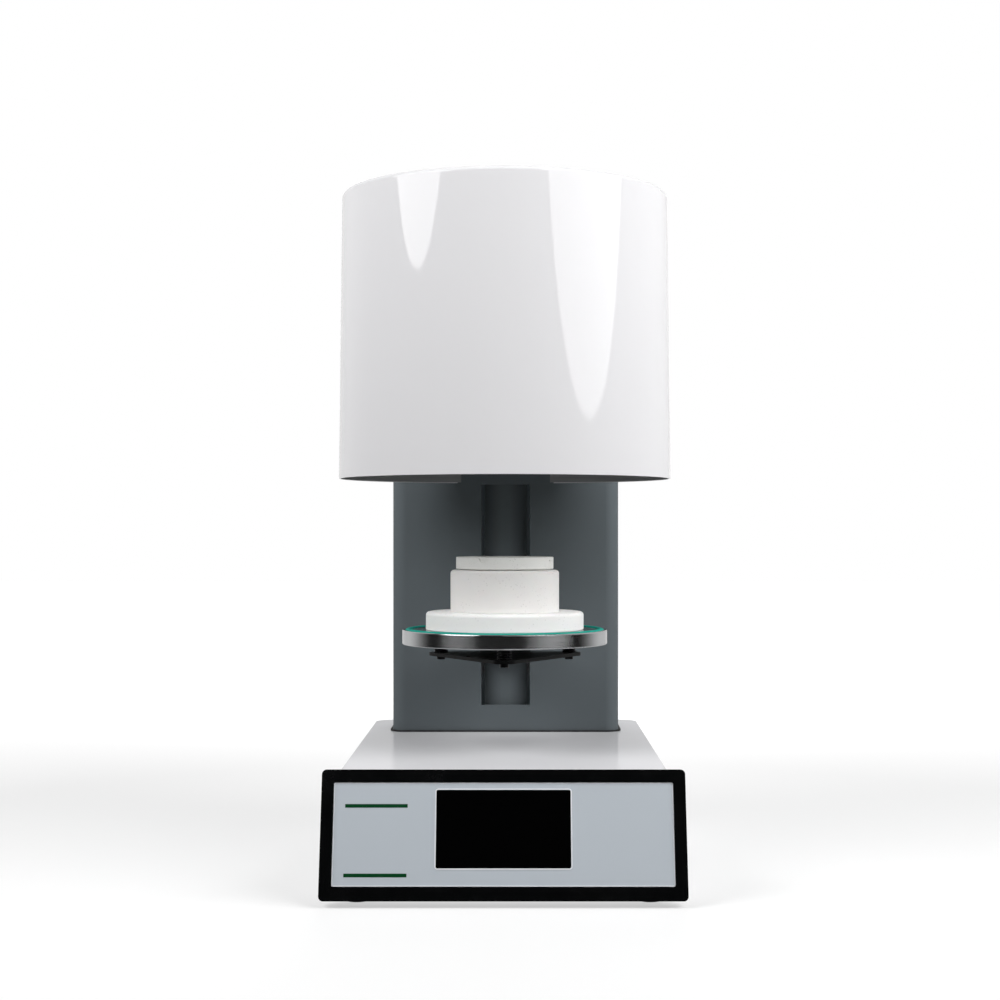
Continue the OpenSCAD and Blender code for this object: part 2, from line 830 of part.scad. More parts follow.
// Outline of the column, drawn in by inset
module column_outline(inset) {
    translate([0, col_y + col_d / 2])
        rounded_rect(col_w - 2 * inset, col_d - 2 * inset, col_r - inset);
}

module column_shell() {
    window_z = flange_z - 0.5;
    window_top = hose_top + 14;
    color("#5a6063") difference() {
        translate([0, 0, col_z]) linear_extrude(col_top - col_z) difference() {
            column_outline(0);
            column_outline(col_wall);
        }
        translate([-slot_w / 2, col_y - 5, slot_bottom])
            cube([slot_w, 15, slot_top - slot_bottom]);
        translate([-neck_window, col_y - 5, window_z])
            cube([2 * neck_window, 15, window_top - window_z]);
        translate([-hatch_w / 2, col_back_y - 5, col_z + hatch_margin])
            cube([hatch_w, 15, col_top - col_z - 2 * hatch_margin]);
    }
}

module column_rear_cover() {
    w = hatch_w + 2 * hatch_lip;
    h = col_top - col_z - 2 * hatch_margin + 2 * hatch_lip;
    upper_rows = 9;
    lower_rows = 5;
    pitch = 11;
    color("#5a6063") translate([0, col_back_y + col_wall, (col_z + col_top) / 2])
        rotate([90, 0, 0]) linear_extrude(col_wall) difference() {
            rounded_rect(w, h, 4);
            for (s = [-1, 1]) translate([s * hatch_w / 4, 0]) {
                for (i = [0 : upper_rows - 1]) translate([0, h / 2 - 40 - i * pitch])
                    rotate(90) slot(4, 60);
                for (i = [0 : lower_rows - 1]) translate([0, -h / 2 + 40 + i * pitch])
                    rotate(90) slot(4, 60);
            }
        }
}

module column_top_cap() {
    skirt_h = 8;
    color("#5a6063") {
        translate([0, 0, col_top]) linear_extrude(cap_t) column_outline(0);
        translate([0, 0, col_top - skirt_h]) linear_extrude(skirt_h + eps) difference() {
            column_outline(col_wall + gap);
            column_outline(2 * col_wall + gap);
        }
    }
}

module column_gasket() {
    color("#232527") translate([0, 0, base_top]) linear_extrude(gasket_t) difference() {
        translate([0, col_y + col_d / 2])
            rounded_rect(col_w + 2 * gasket_lip, col_d + 2 * gasket_lip, col_r + gasket_lip);
        column_outline(col_wall + 3);
    }
}

module slot_cover() {
    tab_h = 10;
    tab_reach = 14;
    strip_bottom = slot_bottom - tab_h - 3;
    strip_top = slot_top + tab_h + 1;
    inner_y = col_y + col_wall;
    strip_y = col_y + strip_setback;
    color("#42474a") {
        translate([-strip_w / 2, strip_y, strip_bottom])
            cube([strip_w, col_wall, strip_top - strip_bottom]);
        for (z = [strip_bottom, strip_top - tab_h])
            translate([-strip_w / 2 - tab_reach, inner_y, z])
                cube([strip_w + 2 * tab_reach, strip_y - inner_y + col_wall, tab_h]);
    }
}

module tower_spine() {
    sole_t = 5;
    flange_t = 3;
    hole_r = 14;
    hole_pitch = 60;
    color("#9a9da0") {
        difference() {
            union() {
                translate([-spine_w / 2, spine_y, pan_top])
                    cube([spine_w, spine_t, spine_top - pan_top]);
                for (s = [-1, 1])
                    translate([s * (spine_w - flange_t) / 2 - flange_t / 2, spine_y - spine_flange,
                        pan_top])
                        cube([flange_t, spine_flange + eps, spine_top - pan_top]);
            }
            for (z = [slot_bottom + 40 : hole_pitch : slot_top])
                translate([0, spine_y - 5, z]) rotate([-90, 0, 0])
                    cylinder(r = hole_r, h = 20);
        }
        translate([-spine_w / 2, spine_front_y, pan_top])
            cube([spine_w, spine_sole_d + eps, sole_t]);
    }
}

module guide_rods() {
    color("#d5d7d9") for (s = [-1, 1]) translate([s * rod_x, drive_y, 0])
        post(rod_r, upper_block_top - lower_block_z - 1, lower_block_z + 0.5);
}

// A bearing block bored for both rods and for the screw
module bearing_block(z, w) {
    difference() {
        union() {
            translate([0, drive_y, 0]) block(w, block_d, block_h, z);
            translate([-w / 2, drive_y, z]) cube([w, spine_y - drive_y, block_h]);
        }
        for (s = [-1, 1]) translate([s * rod_x, drive_y, 0]) post(rod_r + fit, block_h + 2, z - 1);
        translate([0, drive_y, 0]) post(screw_r + fit, block_h + 2, z - 1);
    }
}

module lower_bearing_block() {
    color("#b4b7ba") bearing_block(lower_block_z, carriage_w);
}

module upper_bearing_block() {
    color("#b4b7ba") difference() {
        bearing_block(upper_block_z, carriage_w - 6);
        translate([-carriage_w, spine_y - 4, upper_block_z - 1])
            cube([2 * carriage_w, 10, block_h + 2]);
    }
}

module limit_switches() {
    body_t = 6;
    lower_z = slot_bottom - 12;
    upper_z = carriage_top + lift_up - 18;
    color("#20222a") for (z = [lower_z, upper_z])
        translate([spine_w / 2 - 3 - body_t, spine_y - 18, z]) {
            cube([body_t, 10, 20]);
            translate([1, -3, 8]) cube([4, 3 + eps, 4]);
        }
}

module motor_mount() {
    w = motor_w + 8;
    tab_h = 18;
    color("#9a9da0") difference() {
        union() {
            translate([-w / 2, drive_y - motor_w / 2, motor_top])
                cube([w, spine_y - drive_y + motor_w / 2, mount_t]);
            translate([-w / 2, spine_y - 4, motor_top]) cube([w, 4, tab_h]);
        }
        translate([0, drive_y, 0]) post(motor_boss_r + fit, mount_t + 2, motor_top - 1);
    }
}

module lift_motor() {
    bell_h = 9;
    color("#2a2c30") translate([0, drive_y, 0]) difference() {
        union() {
            translate([0, 0, motor_top - motor_h]) linear_extrude(bell_h)
                rounded_rect(motor_w, motor_w, 6);
            translate([0, 0, motor_top - motor_h + bell_h]) linear_extrude(motor_h - 2 * bell_h)
                rounded_rect(motor_w - 2, motor_w - 2, 8);
            translate([0, 0, motor_top - bell_h]) linear_extrude(bell_h)
                rounded_rect(motor_w, motor_w, 6);
            post(motor_boss_r, 2, motor_top - eps);
        }
        post(motor_shaft_r + fit, 40, motor_top - 16);
    }
}

module motor_shaft() {
    color("#d5d7d9") translate([0, drive_y, 0])
        post(motor_shaft_r, coupling_z + coupling_h / 2 - motor_top + 15, motor_top - 15.5);
}

module shaft_coupling() {
    middle = coupling_z + coupling_h / 2;
    color("#c9ccd0") translate([0, drive_y, 0]) difference() {
        post(coupling_r, coupling_h, coupling_z);
        post(motor_shaft_r + fit, coupling_h / 2 + 1, coupling_z - 1);
        post(screw_r + fit, coupling_h / 2 + 1, middle);
        ring(coupling_r + 1, coupling_r - 1.2, 1.2, middle - 0.6);
    }
}

module lead_screw() {
    bottom = coupling_z + coupling_h / 2 + 0.5;
    collar_h = 1.3;
    color("#b9bcbf") translate([0, drive_y, 0]) {
        post(screw_r, upper_block_top - bottom, bottom);
        post(screw_r + 2.5, collar_h, lower_block_z - gap - collar_h);
    }
}

module carriage_block() {
    h = carriage_top - carriage_bottom;
    color("#aeb2b6") translate([0, drive_y, 0]) difference() {
        translate([0, 0, carriage_bottom]) linear_extrude(h)
            rounded_rect(carriage_w, carriage_d, 3);
        for (s = [-1, 1]) translate([s * rod_x, 0, 0])
            post(bushing_r, h + 2, carriage_bottom - 1);
        post(nut_r, h + 2, carriage_bottom - 1);
        post(nut_flange_r + gap, nut_flange_t + 1, carriage_bottom - 1);
    }
}

module rod_bushings() {
    h = carriage_top - carriage_bottom - 1;
    color("#d9dbdd") for (s = [-1, 1]) translate([s * rod_x, drive_y, 0])
        ring(bushing_r, rod_r + fit, h, carriage_bottom + 0.5);
}

module lift_nut() {
    h = carriage_top - carriage_bottom - 1;
    color("#b8923e") translate([0, drive_y, 0]) difference() {
        union() {
            post(nut_r, h, carriage_bottom + 0.5);
            post(nut_flange_r, nut_flange_t - 0.5, carriage_bottom + 0.5);
        }
        post(screw_r + fit, h + 2, carriage_bottom - 0.5);
    }
}

module lift_arm() {
    plate_end = axis_y + bolt_circle / 2;
    neck_w = 2 * cheek_x + cheek_t;
    flange_t = 4;
    cheek_y = axis_y + plate_r + 11.5;
    cheek_end = carriage_front - flange_t;
    color("#2e3133") difference() {
        union() {
            translate([0, axis_y, arm_bottom]) linear_extrude(arm_t)
                rounded_polygon(arm_corners, arm_corner_r);
            translate([-neck_w / 2, plate_end, arm_bottom])
                cube([neck_w, col_y - 2 - plate_end, arm_t]);
            for (s = [-1, 1]) translate([s * cheek_x - cheek_t / 2, 0, 0]) rotate([90, 0, 90])
                linear_extrude(cheek_t) polygon([
                    [plate_end, arm_bottom], [col_y - 8, cheek_bottom], [cheek_end, cheek_bottom],
                    [cheek_end, cheek_top], [cheek_y + 12, cheek_top], [cheek_y, arm_top],
                    [plate_end, arm_top]
                ]);
            translate([-cheek_x - 5, cheek_end, cheek_bottom])
                cube([2 * cheek_x + 10, flange_t, cheek_top - cheek_bottom]);
        }
        for (p = arm_corners) translate([p.x, axis_y + p.y, 0])
            post(bolt_r + fit, arm_t + 2, arm_bottom - 1);
    }
}

module adjuster_bolts() {
    thread_in = 8;
    socket_r = 1.6;
    socket_d = 2;
    color("#1c1d1f") for (p = arm_corners) translate([p.x, axis_y + p.y, 0]) {
        post(bolt_r, plate_z + thread_in - arm_bottom, arm_bottom - eps);
        difference() {
            post(bolt_head_r, bolt_head_h, arm_bottom - bolt_head_h);
            post(socket_r, socket_d + 0.5, arm_bottom - bolt_head_h - 0.5);
        }
    }
}

module adjuster_springs() {
    rise = spring_gap - 2 * spring_wire_r;
    echo(spring_least_gap = helix_gap(rise, spring_turns, spring_wire_r));
    color("#101112") for (p = arm_corners) translate([p.x, axis_y + p.y, arm_top])
        tube(helix_rings(spring_r - spring_wire_r, spring_wire_r, spring_turns,
            spring_wire_r, spring_gap - spring_wire_r, 12, 6));
}

module lift_plate() {
    edge_r = 1;
    groove_in = seal_r - seal_w / 2;
    groove_out = seal_r + seal_w / 2;
    color("#b6b9bb") translate([0, axis_y, 0]) difference() {
        round_disc(plate_r, plate_h, plate_z, edge_r, edge_r);
        ring(groove_out + 0.1, groove_in - 0.1, groove_depth + 1, plate_top - groove_depth);
        for (p = arm_corners) translate([p.x, p.y, 0]) post(bolt_r + fit, 9.5, plate_z - 1);
    }
}

module seal_ring() {
    lobe = seal_w / 2;
    body_h = groove_depth + seal_proud - lobe;
    color("#149082") translate([0, axis_y, plate_top - groove_depth]) rotate_extrude()
        translate([seal_r, 0]) {
            translate([-lobe, 0]) square([seal_w, body_h]);
            translate([0, body_h]) intersection() {
                circle(lobe);
                translate([-lobe, -eps]) square([seal_w, seal_w]);
            }
        }
}

module insulation_disc() {
    color("#ebebe8") translate([0, axis_y, 0]) round_disc(disc_r, disc_h, plate_top, 3, 1);
}

module insulation_plug() {
    color("#e4e3e0") translate([0, axis_y, 0]) round_disc(plug_r, plug_h, disc_top, 3.2, 0.5);
}

module firing_table() {
    foot_inset = 3;
    foot_t = 0.9;
    notch_r = 5;
    hole_r = 1.1;
    color("#d2d1cd") translate([0, axis_y, 0]) difference() {
        union() {
            post(table_r - foot_inset, foot_t + eps, plug_top);
            round_disc(table_r, table_h - foot_t, plug_top + foot_t, 0.6, 0.6);
        }
        rotate(-115) translate([table_r, 0, table_top]) rotate([0, 90, 0])
            cylinder(r = notch_r, h = 4, center = true);
        rotate(-23) translate([table_r, 0, table_top - 3.2]) rotate([0, 90, 0])
            cylinder(r = hole_r, h = 12, center = true);
    }
}

// One upright cheek of the head frame, cut away over the upper bearing block
module head_cheek(h) {
    cheek_front = axis_y + can_r + 6;
    notch_d = block_d / 2 + 1;
    notch_top = upper_block_top + 1;
    rotate([90, 0, 90]) linear_extrude(cheek_plate_t) polygon([
        [cheek_front, frame_z], [drive_y - notch_d, frame_z], [drive_y - notch_d, notch_top],
        [spine_y - eps, notch_top], [spine_y - eps, frame_z + h], [spine_y - 24, frame_z + h],
        [cheek_front, frame_z + 26]
    ]);
}

module head_frame() {
    arm_w = carriage_w + 14;
    ring_r = flange_boss_r + 20;
    back_t = 4;
    cheek_h = 132;
    column_inner = col_y + col_wall + 1;
    color("#9a9da0") difference() {
        union() {
            translate([0, axis_y, 0]) post(ring_r, frame_t, frame_z);
            translate([-neck_half, axis_y, frame_z])
                cube([2 * neck_half, spine_y - axis_y, frame_t]);
            translate([-arm_w / 2, column_inner, frame_z])
                cube([arm_w, spine_y - column_inner, frame_t]);
            translate([-arm_w / 2, spine_y - back_t, frame_z]) cube([arm_w, back_t, cheek_h]);
            for (x = [-neck_half, neck_half - cheek_plate_t]) translate([x, 0, 0])
                head_cheek(cheek_h);
        }
        translate([0, axis_y, 0]) post(flange_boss_r + gap, frame_t + 2, frame_z - 1);
        translate([0, drive_y, 0]) post(screw_r + 1, frame_t + 2, frame_z - 1);
        for (s = [-1, 1]) translate([s * rod_x, drive_y, 0])
            post(rod_r + 0.5, frame_t + 2, frame_z - 1);
        translate([0, axis_y, 0]) post(can_r + 5, cheek_h, frame_z + frame_t);
    }
}

// Everything behind this plane is kept clear for the column
module column_cut() {
    translate([-400, col_y - gap, 0]) cube([800, 400, 1000]);
}

module head_base() {
    rim_r = head_r - head_wall - gap;
    rim_t = 0.8;
    rim_z = lip_z + 0.6;
    color("#4a4e51") difference() {
        translate([0, axis_y, 0]) union() {
            post(rim_r, base_plate_t, flange_z);
            ring(rim_r, rim_r - rim_t, frame_z - rim_z, rim_z);
        }
        translate([0, axis_y, 0]) post(flange_boss_r + gap, 20, flange_z - 5);
        column_cut();
    }
}

// Half outline of the drum for turning, drawn in by inset
module drum_profile(inset) {
    slope = atan(head_taper / head_h);
    r = head_round - inset;
    zc = head_top - head_round;
    wall_x = head_r - (zc - lip_z) * tan(slope);
    xc = wall_x - head_round / cos(slope);
    low = inset > 0 ? lip_z - 1 : lip_z;
    low_x = head_r - (low - lip_z) * tan(slope) - inset / cos(slope);
    polygon([
        [0, low], [low_x, low], [xc + r * cos(slope), zc + r * sin(slope)],
        [xc, zc], [xc, zc + r], [0, zc + r]
    ]);
    intersection() {
        translate([xc, zc]) circle(r, $fn = 96);
        translate([xc, zc]) square([r + 1, r + 1]);
    }
}

module head_cover() {
    color("#f0f0f1") difference() {
        translate([0, axis_y, 0]) rotate_extrude() difference() {
            drum_profile(0);
            drum_profile(head_wall);
        }
        column_cut();
    }
}

module chamber_flange() {
    color("#c6c9cb") translate([0, axis_y, 0]) difference() {
        union() {
            post(flange_boss_r, flange_step_z - flange_z + eps, flange_z);
            post(flange_boss_r + 6, can_z - flange_step_z, flange_step_z);
        }
        post(flange_bore, 40, flange_z - 5);
    }
}

module chamber_can() {
    color("#cfd1d3") translate([0, axis_y, 0]) ring(can_r, can_r - can_wall, can_top - can_z, can_z);
}

module chamber_lid() {
    color("#c0c3c5") translate([0, axis_y, 0]) difference() {
        union() {
            post(can_r + 3, lid_t, can_top);
            translate(port_spot) post(hose_r + 2, port_h, lid_top - eps);
        }
        post(probe_r + gap, lid_t + 2, can_top - 1);
        for (p = lead_spots) translate(p) post(lead_r + gap, lid_t + 2, can_top - 1);
        translate(port_spot) post(hose_r - 1.5, lid_t + port_h + 2, can_top - 1);
    }
}

module insulation_ring() {
    color("#efeee9") translate([0, axis_y, 0]) difference() {
        post(insulation_r, muffle_z - can_z, can_z);
        post(flange_bore - 0.5, throat_z - can_z + 1, can_z - 1);
        post(throat_r, 40, can_z - 5);
    }
}

module chamber_insulation() {
    color("#f2f1ec") translate([0, axis_y, 0]) difference() {
        post(insulation_r, can_top - muffle_z, muffle_z);
        post(coil_bore, muffle_h + gap + 1, muffle_z - 1);
        post(probe_r + gap, can_top - muffle_z + 1, muffle_z);
        for (p = lead_spots) translate(p)
            post(lead_r + gap, can_top - muffle_z + 1, muffle_z);
    }
}

module muffle() {
    top_t = 5;
    color("#dfe2e0") translate([0, axis_y, 0]) difference() {
        post(muffle_outer, muffle_h, muffle_z);
        post(muffle_r, muffle_h - top_t + 1, muffle_z - 1);
        post(probe_r + gap, muffle_h + 2, muffle_z);
    }
}

module heating_coil() {
    margin = 8;
    echo(coil_least_gap = helix_gap(muffle_h - 2 * margin, coil_turns, coil_wire_r));
    color("#8a7f74") translate([0, axis_y, muffle_z])
        tube(helix_rings(coil_r, coil_wire_r, coil_turns, margin, muffle_h - margin, 24, 6));
}

module thermocouple() {
    tip_drop = 28;
    tip_z = muffle_z + muffle_h - tip_drop;
    collar_h = 6;
    color("#d8cdb8") translate([0, axis_y, 0]) {
        post(probe_r, lid_top - tip_z + eps, tip_z);
        post(probe_r + 6, collar_h, lid_top);
        translate([0, 0, lid_top + collar_h - eps]) block(22, 14, 14);
    }
}

module heater_terminals() {
    stud_z = muffle_z + muffle_h + 2;
    bead_h = 12;
    color("#e6dfd0") translate([0, axis_y, 0]) for (p = lead_spots) translate(p) {
        post(lead_r, lid_top + bead_h + 8 - stud_z, stud_z);
        post(7, bead_h, lid_top);
        translate([0, 0, lid_top + bead_h]) cylinder(r = 2 * lead_r, h = 3, $fn = 6);
    }
}

base_pan();
base_cover();
front_bezel();
front_panel();
screen_glass();
display_module();
control_board();
transformer();
solid_state_relay();
rubber_feet();
rear_panel();
power_inlet();
switch_frame();
switch_rocker();
fuse_holders();
pump_outlet();
hose_nipple();
vacuum_valve();
vacuum_hose();
fan_frame();
fan_rotor();
column_shell();
column_rear_cover();
column_top_cap();
column_gasket();
slot_cover();
tower_spine();
guide_rods();
lower_bearing_block();
upper_bearing_block();
limit_switches();
lift_motor();
motor_mount();
motor_shaft();
shaft_coupling();
lead_screw();
carriage_block();
rod_bushings();
lift_nut();
lift_arm();
adjuster_bolts();
adjuster_springs();
lift_plate();
seal_ring();
insulation_disc();
insulation_plug();
firing_table();
head_frame();
head_base();
head_cover();
chamber_flange();
chamber_can();
chamber_lid();
insulation_ring();
chamber_insulation();
muffle();
heating_coil();
thermocouple();
heater_terminals();
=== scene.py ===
import math
import bmesh
import bpy
from mathutils import Matrix, Vector


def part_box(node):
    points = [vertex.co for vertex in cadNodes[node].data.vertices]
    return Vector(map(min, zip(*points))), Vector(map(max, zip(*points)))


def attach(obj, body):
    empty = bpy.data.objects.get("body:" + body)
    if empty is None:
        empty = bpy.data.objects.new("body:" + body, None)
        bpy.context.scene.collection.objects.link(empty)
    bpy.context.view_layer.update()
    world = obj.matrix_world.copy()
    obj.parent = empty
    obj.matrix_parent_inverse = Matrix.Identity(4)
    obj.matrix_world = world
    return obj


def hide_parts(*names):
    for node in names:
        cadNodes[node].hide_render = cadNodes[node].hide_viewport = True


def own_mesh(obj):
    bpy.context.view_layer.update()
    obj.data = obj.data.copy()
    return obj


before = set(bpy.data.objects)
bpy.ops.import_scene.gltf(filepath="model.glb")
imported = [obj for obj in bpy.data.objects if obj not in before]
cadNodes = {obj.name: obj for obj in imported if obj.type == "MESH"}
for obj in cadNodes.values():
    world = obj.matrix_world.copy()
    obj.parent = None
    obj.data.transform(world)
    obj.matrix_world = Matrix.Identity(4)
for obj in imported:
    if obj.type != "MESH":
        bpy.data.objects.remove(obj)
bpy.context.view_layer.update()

scene = bpy.context.scene
axisY = -0.042  # the drum, the lift plate and everything round stand on this line
driveY = 0.152  # the lead screw's line

cameraView = {"place": (0.010, -1.6885, 0.3064), "lens": 64.8, "sensor": 36,
              "shift": (-0.0157, 0.030)}


def makeCamera(look):
    data = bpy.data.cameras.new("photoCamera")
    data.sensor_width = look["sensor"]
    data.lens = look["lens"]
    data.shift_x, data.shift_y = look["shift"]
    camera = bpy.data.objects.new("photoCamera", data)
    camera.location = look["place"]
    camera.rotation_euler = (math.radians(90), 0, 0)  # level, looking along +Y
    scene.collection.objects.link(camera)
    scene.camera = camera


makeCamera(cameraView)
print("camera placed")


def putNode(tree, kind, settings=None, inputs=None):
    node = tree.nodes.new("ShaderNode" + kind)
    for name, value in (settings or {}).items():
        setattr(node, name, value)
    for name, value in (inputs or {}).items():
        if isinstance(value, bpy.types.NodeSocket):
            tree.links.new(value, node.inputs[name])
        else:
            node.inputs[name].default_value = value
    return node


def calc(tree, operation, first, second=0.5):
    # second is left alone by operations that take one value
    return putNode(tree, "Math", {"operation": operation}, {0: first, 1: second}).outputs[0]


def vectorCalc(tree, operation, first, second):
    return putNode(tree, "VectorMath", {"operation": operation}, {0: first, 1: second}).outputs


def remap(tree, value, span, reach=(0.0, 1.0), curve="LINEAR"):
    # takes span to reach, and stops at its ends
    return putNode(tree, "MapRange", {"interpolation_type": curve}, {
        0: value, 1: span[0], 2: span[1], 3: reach[0], 4: reach[1]}).outputs[0]


def mixColour(tree, share, first, second):
    return putNode(tree, "Mix", {"data_type": "RGBA"}, {0: share, 6: first, 7: second}).outputs[2]


def layColour(tree, colour, mask, share, second):
    # lays second over colour where the mask is
    return mixColour(tree, calc(tree, "MULTIPLY", mask, share), colour, second)


def noise(tree, coords, scale, detail=2.0, rough=0.5):
    return putNode(tree, "TexNoise", {}, {"Vector": coords, "Scale": scale, "Detail": detail,
                                          "Roughness": rough}).outputs[0]


def cells(tree, coords, scale, metric="EUCLIDEAN"):
    return putNode(tree, "TexVoronoi", {"distance": metric},
                   {"Vector": coords, "Scale": scale}).outputs[0]


def ownCoords(tree):
    return putNode(tree, "TexCoord").outputs["Object"]


def splitVector(tree, vector):
    return putNode(tree, "SeparateXYZ", {}, {0: vector}).outputs


def surfaceNormal(tree):
    return putNode(tree, "NewGeometry").outputs["Normal"]


def startGroup(name, inputs, outputs):
    tree = bpy.data.node_groups.new(name, "ShaderNodeTree")
    for label, kind, value in inputs:
        socket = tree.interface.new_socket(name=label, in_out="INPUT",
                                           socket_type="NodeSocket" + kind)
        socket.default_value = value
    for label in outputs:
        tree.interface.new_socket(name=label, in_out="OUTPUT", socket_type="NodeSocketFloat")
    return (tree, tree.nodes.new("NodeGroupInput").outputs,
            tree.nodes.new("NodeGroupOutput").inputs)


def placeGroup(tree, group, values):
    node = tree.nodes.new("ShaderNodeGroup")
    node.node_tree = group
    for label, value in values.items():
        node.inputs[label].default_value = value
    return node.outputs


wearShape = {"samples": 4, "edge": (0.99, 0.86), "patches": (0.42, 0.62)}


def makeEdgeWear(look):
    # 1 on outer edges where the finish is rubbed, broken up by noise
    tree, given, out = startGroup("edgeWear", [("Width", "Float", 0.0008),
                                               ("Patches", "Float", 160.0)], ["Mask"])
    rounded = putNode(tree, "Bevel", {"samples": look["samples"]},
                      {"Radius": given["Width"]}).outputs[0]
    same = vectorCalc(tree, "DOT_PRODUCT", rounded, surfaceNormal(tree))[1]
    patches = noise(tree, ownCoords(tree), given["Patches"], detail=3.0)
    tree.links.new(calc(tree, "MULTIPLY", remap(tree, same, look["edge"]),
                        remap(tree, patches, look["patches"])), out["Mask"])
    return tree


skinShape = {"glossFiner": 7.0}


def makePaintSkin(look):
    # orange peel or powder texture, and the slow drift of a sprayed finish
    tree, given, out = startGroup("paintSkin", [("Grain", "Float", 700.0), ("Drift", "Float", 9.0)],
                                  ["Height", "Tone", "Gloss"])
    coords = ownCoords(tree)
    finer = calc(tree, "MULTIPLY", given["Drift"], look["glossFiner"])
    tree.links.new(noise(tree, coords, given["Grain"], detail=1.0), out["Height"])
    tree.links.new(noise(tree, coords, given["Drift"], detail=3.0), out["Tone"])
    tree.links.new(noise(tree, coords, finer, detail=4.0, rough=0.65), out["Gloss"])
    return tree


brushShape = {"cloud": 60.0}


def makeBrushed(look):
    # fine parallel scratches; Stretch is small along the scratches
    tree, given, out = startGroup("brushedGrain", [("Stretch", "Vector", (20.0, 20.0, 2200.0))],
                                  ["Streak", "Cloud"])
    coords = ownCoords(tree)
    drawn = vectorCalc(tree, "MULTIPLY", coords, given["Stretch"])[0]
    tree.links.new(noise(tree, drawn, 1.0, detail=4.0, rough=0.7), out["Streak"])
    tree.links.new(noise(tree, coords, look["cloud"], detail=3.0), out["Cloud"])
    return tree


turnShape = {"around": 1.6, "cloud": 45.0}


def makeTurned(look):
    # rings left by a lathe tool round an upright axis through Centre
    tree, given, out = startGroup("turnedGrain", [("Centre", "Vector", (0.0, axisY, 0.0)),
                                                  ("Pitch", "Float", 1500.0)], ["Ring", "Cloud"])
    coords = ownCoords(tree)
    x, y, z = splitVector(tree, vectorCalc(tree, "SUBTRACT", coords, given["Centre"])[0])
    reach = calc(tree, "SQRT", calc(tree, "ADD", calc(tree, "MULTIPLY", x, x),
                                    calc(tree, "MULTIPLY", y, y)))
    rings = putNode(tree, "CombineXYZ", {}, {
        0: calc(tree, "MULTIPLY", reach, given["Pitch"]),
        1: calc(tree, "MULTIPLY", calc(tree, "ARCTAN2", y, x), look["around"]),
        2: calc(tree, "MULTIPLY", z, given["Pitch"])}).outputs[0]
    tree.links.new(noise(tree, rings, 1.0, detail=3.0, rough=0.65), out["Ring"])
    tree.links.new(noise(tree, coords, look["cloud"], detail=3.0), out["Cloud"])
    return tree


smudgeShape = {"patch": (0.48, 0.72), "speck": (0.16, 0.06)}


def makeSmudges(look):
    # handling marks: soft patches with a few fine dust specks
    tree, given, out = startGroup("smudges", [("Size", "Float", 30.0), ("Dust", "Float", 900.0)],
                                  ["Mask", "Specks"])
    coords = ownCoords(tree)
    patch = noise(tree, coords, given["Size"], detail=5.0, rough=0.6)
    tree.links.new(remap(tree, patch, look["patch"]), out["Mask"])
    tree.links.new(remap(tree, cells(tree, coords, given["Dust"]), look["speck"]), out["Specks"])
    return tree


fibreShape = {"wide": 60.0, "tone": 25.0, "pit": (0.28, 0.08), "pitted": (0.5, 0.6)}


def makeFibre(look):
    # pressed ceramic fibre: fuzz, pits and faint layers
    tree, given, out = startGroup("fibreFace", [("Fuzz", "Float", 1400.0),
                                                ("Pits", "Float", 420.0)],
                                  ["Height", "Pit", "Tone"])
    coords = ownCoords(tree)
    fuzz = noise(tree, coords, given["Fuzz"], detail=4.0, rough=0.75)
    wide = noise(tree, coords, look["wide"], detail=3.0)
    pit = calc(tree, "MULTIPLY", remap(tree, cells(tree, coords, given["Pits"]), look["pit"]),
               remap(tree, wide, look["pitted"]))
    tree.links.new(calc(tree, "SUBTRACT", fuzz, pit), out["Height"])
    tree.links.new(pit, out["Pit"])
    tree.links.new(noise(tree, coords, look["tone"], detail=4.0, rough=0.6), out["Tone"])
    return tree


edgeWear = makeEdgeWear(wearShape)
paintSkin = makePaintSkin(skinShape)
brushedGrain = makeBrushed(brushShape)
turnedGrain = makeTurned(turnShape)
smudges = makeSmudges(smudgeShape)
fibreFace = makeFibre(fibreShape)
print("shared effects built")

noiseSpan = (0.3, 0.7)  # nearly all of a noise's values lie here
white, black = (1.0, 1.0, 1.0, 1.0), (0.0, 0.0, 0.0, 1.0)


def startMaterial(name, fixed):
    material = bpy.data.materials.new(name)
    material.use_nodes = True
    tree = material.node_tree
    shader = tree.nodes["Principled BSDF"]
    for label, value in fixed.items():
        shader.inputs[label].default_value = value
    return material, tree, shader


def rgba(colour):
    return tuple(colour) + (1.0,)


def shade(colour, share):
    return rgba(min(1.0, c * share) for c in colour)


def setSurface(tree, shader, look, colour, gloss, height, marks=None):
    # the colour, the roughness with its handling marks, and the bump of a finish
    tree.links.new(colour, shader.inputs["Base Color"])
    rough = remap(tree, gloss, noiseSpan, look["rough"])
    if marks is not None:
        rough = calc(tree, "ADD", rough, calc(tree, "MULTIPLY", marks["Mask"], look["marks"]))
    tree.links.new(rough, shader.inputs["Roughness"])
    bump = putNode(tree, "Bump", {}, {"Height": height, "Distance": look["depth"],
                                      "Strength": look.get("bump", 1.0)})
    tree.links.new(bump.outputs[0], shader.inputs["Normal"])


# each family's usual values, which a look below may replace
paintBase = {"specular": 0.5, "drift": 9.0, "spread": 0.02, "markSize": 24.0, "marks": 0.02,
             "dustSize": 1100.0, "dust": 0.05, "dustColour": (0.5, 0.49, 0.47), "wear": 0.3,
             "wearWidth": 0.0007, "facing": (0.8, 0.98)}


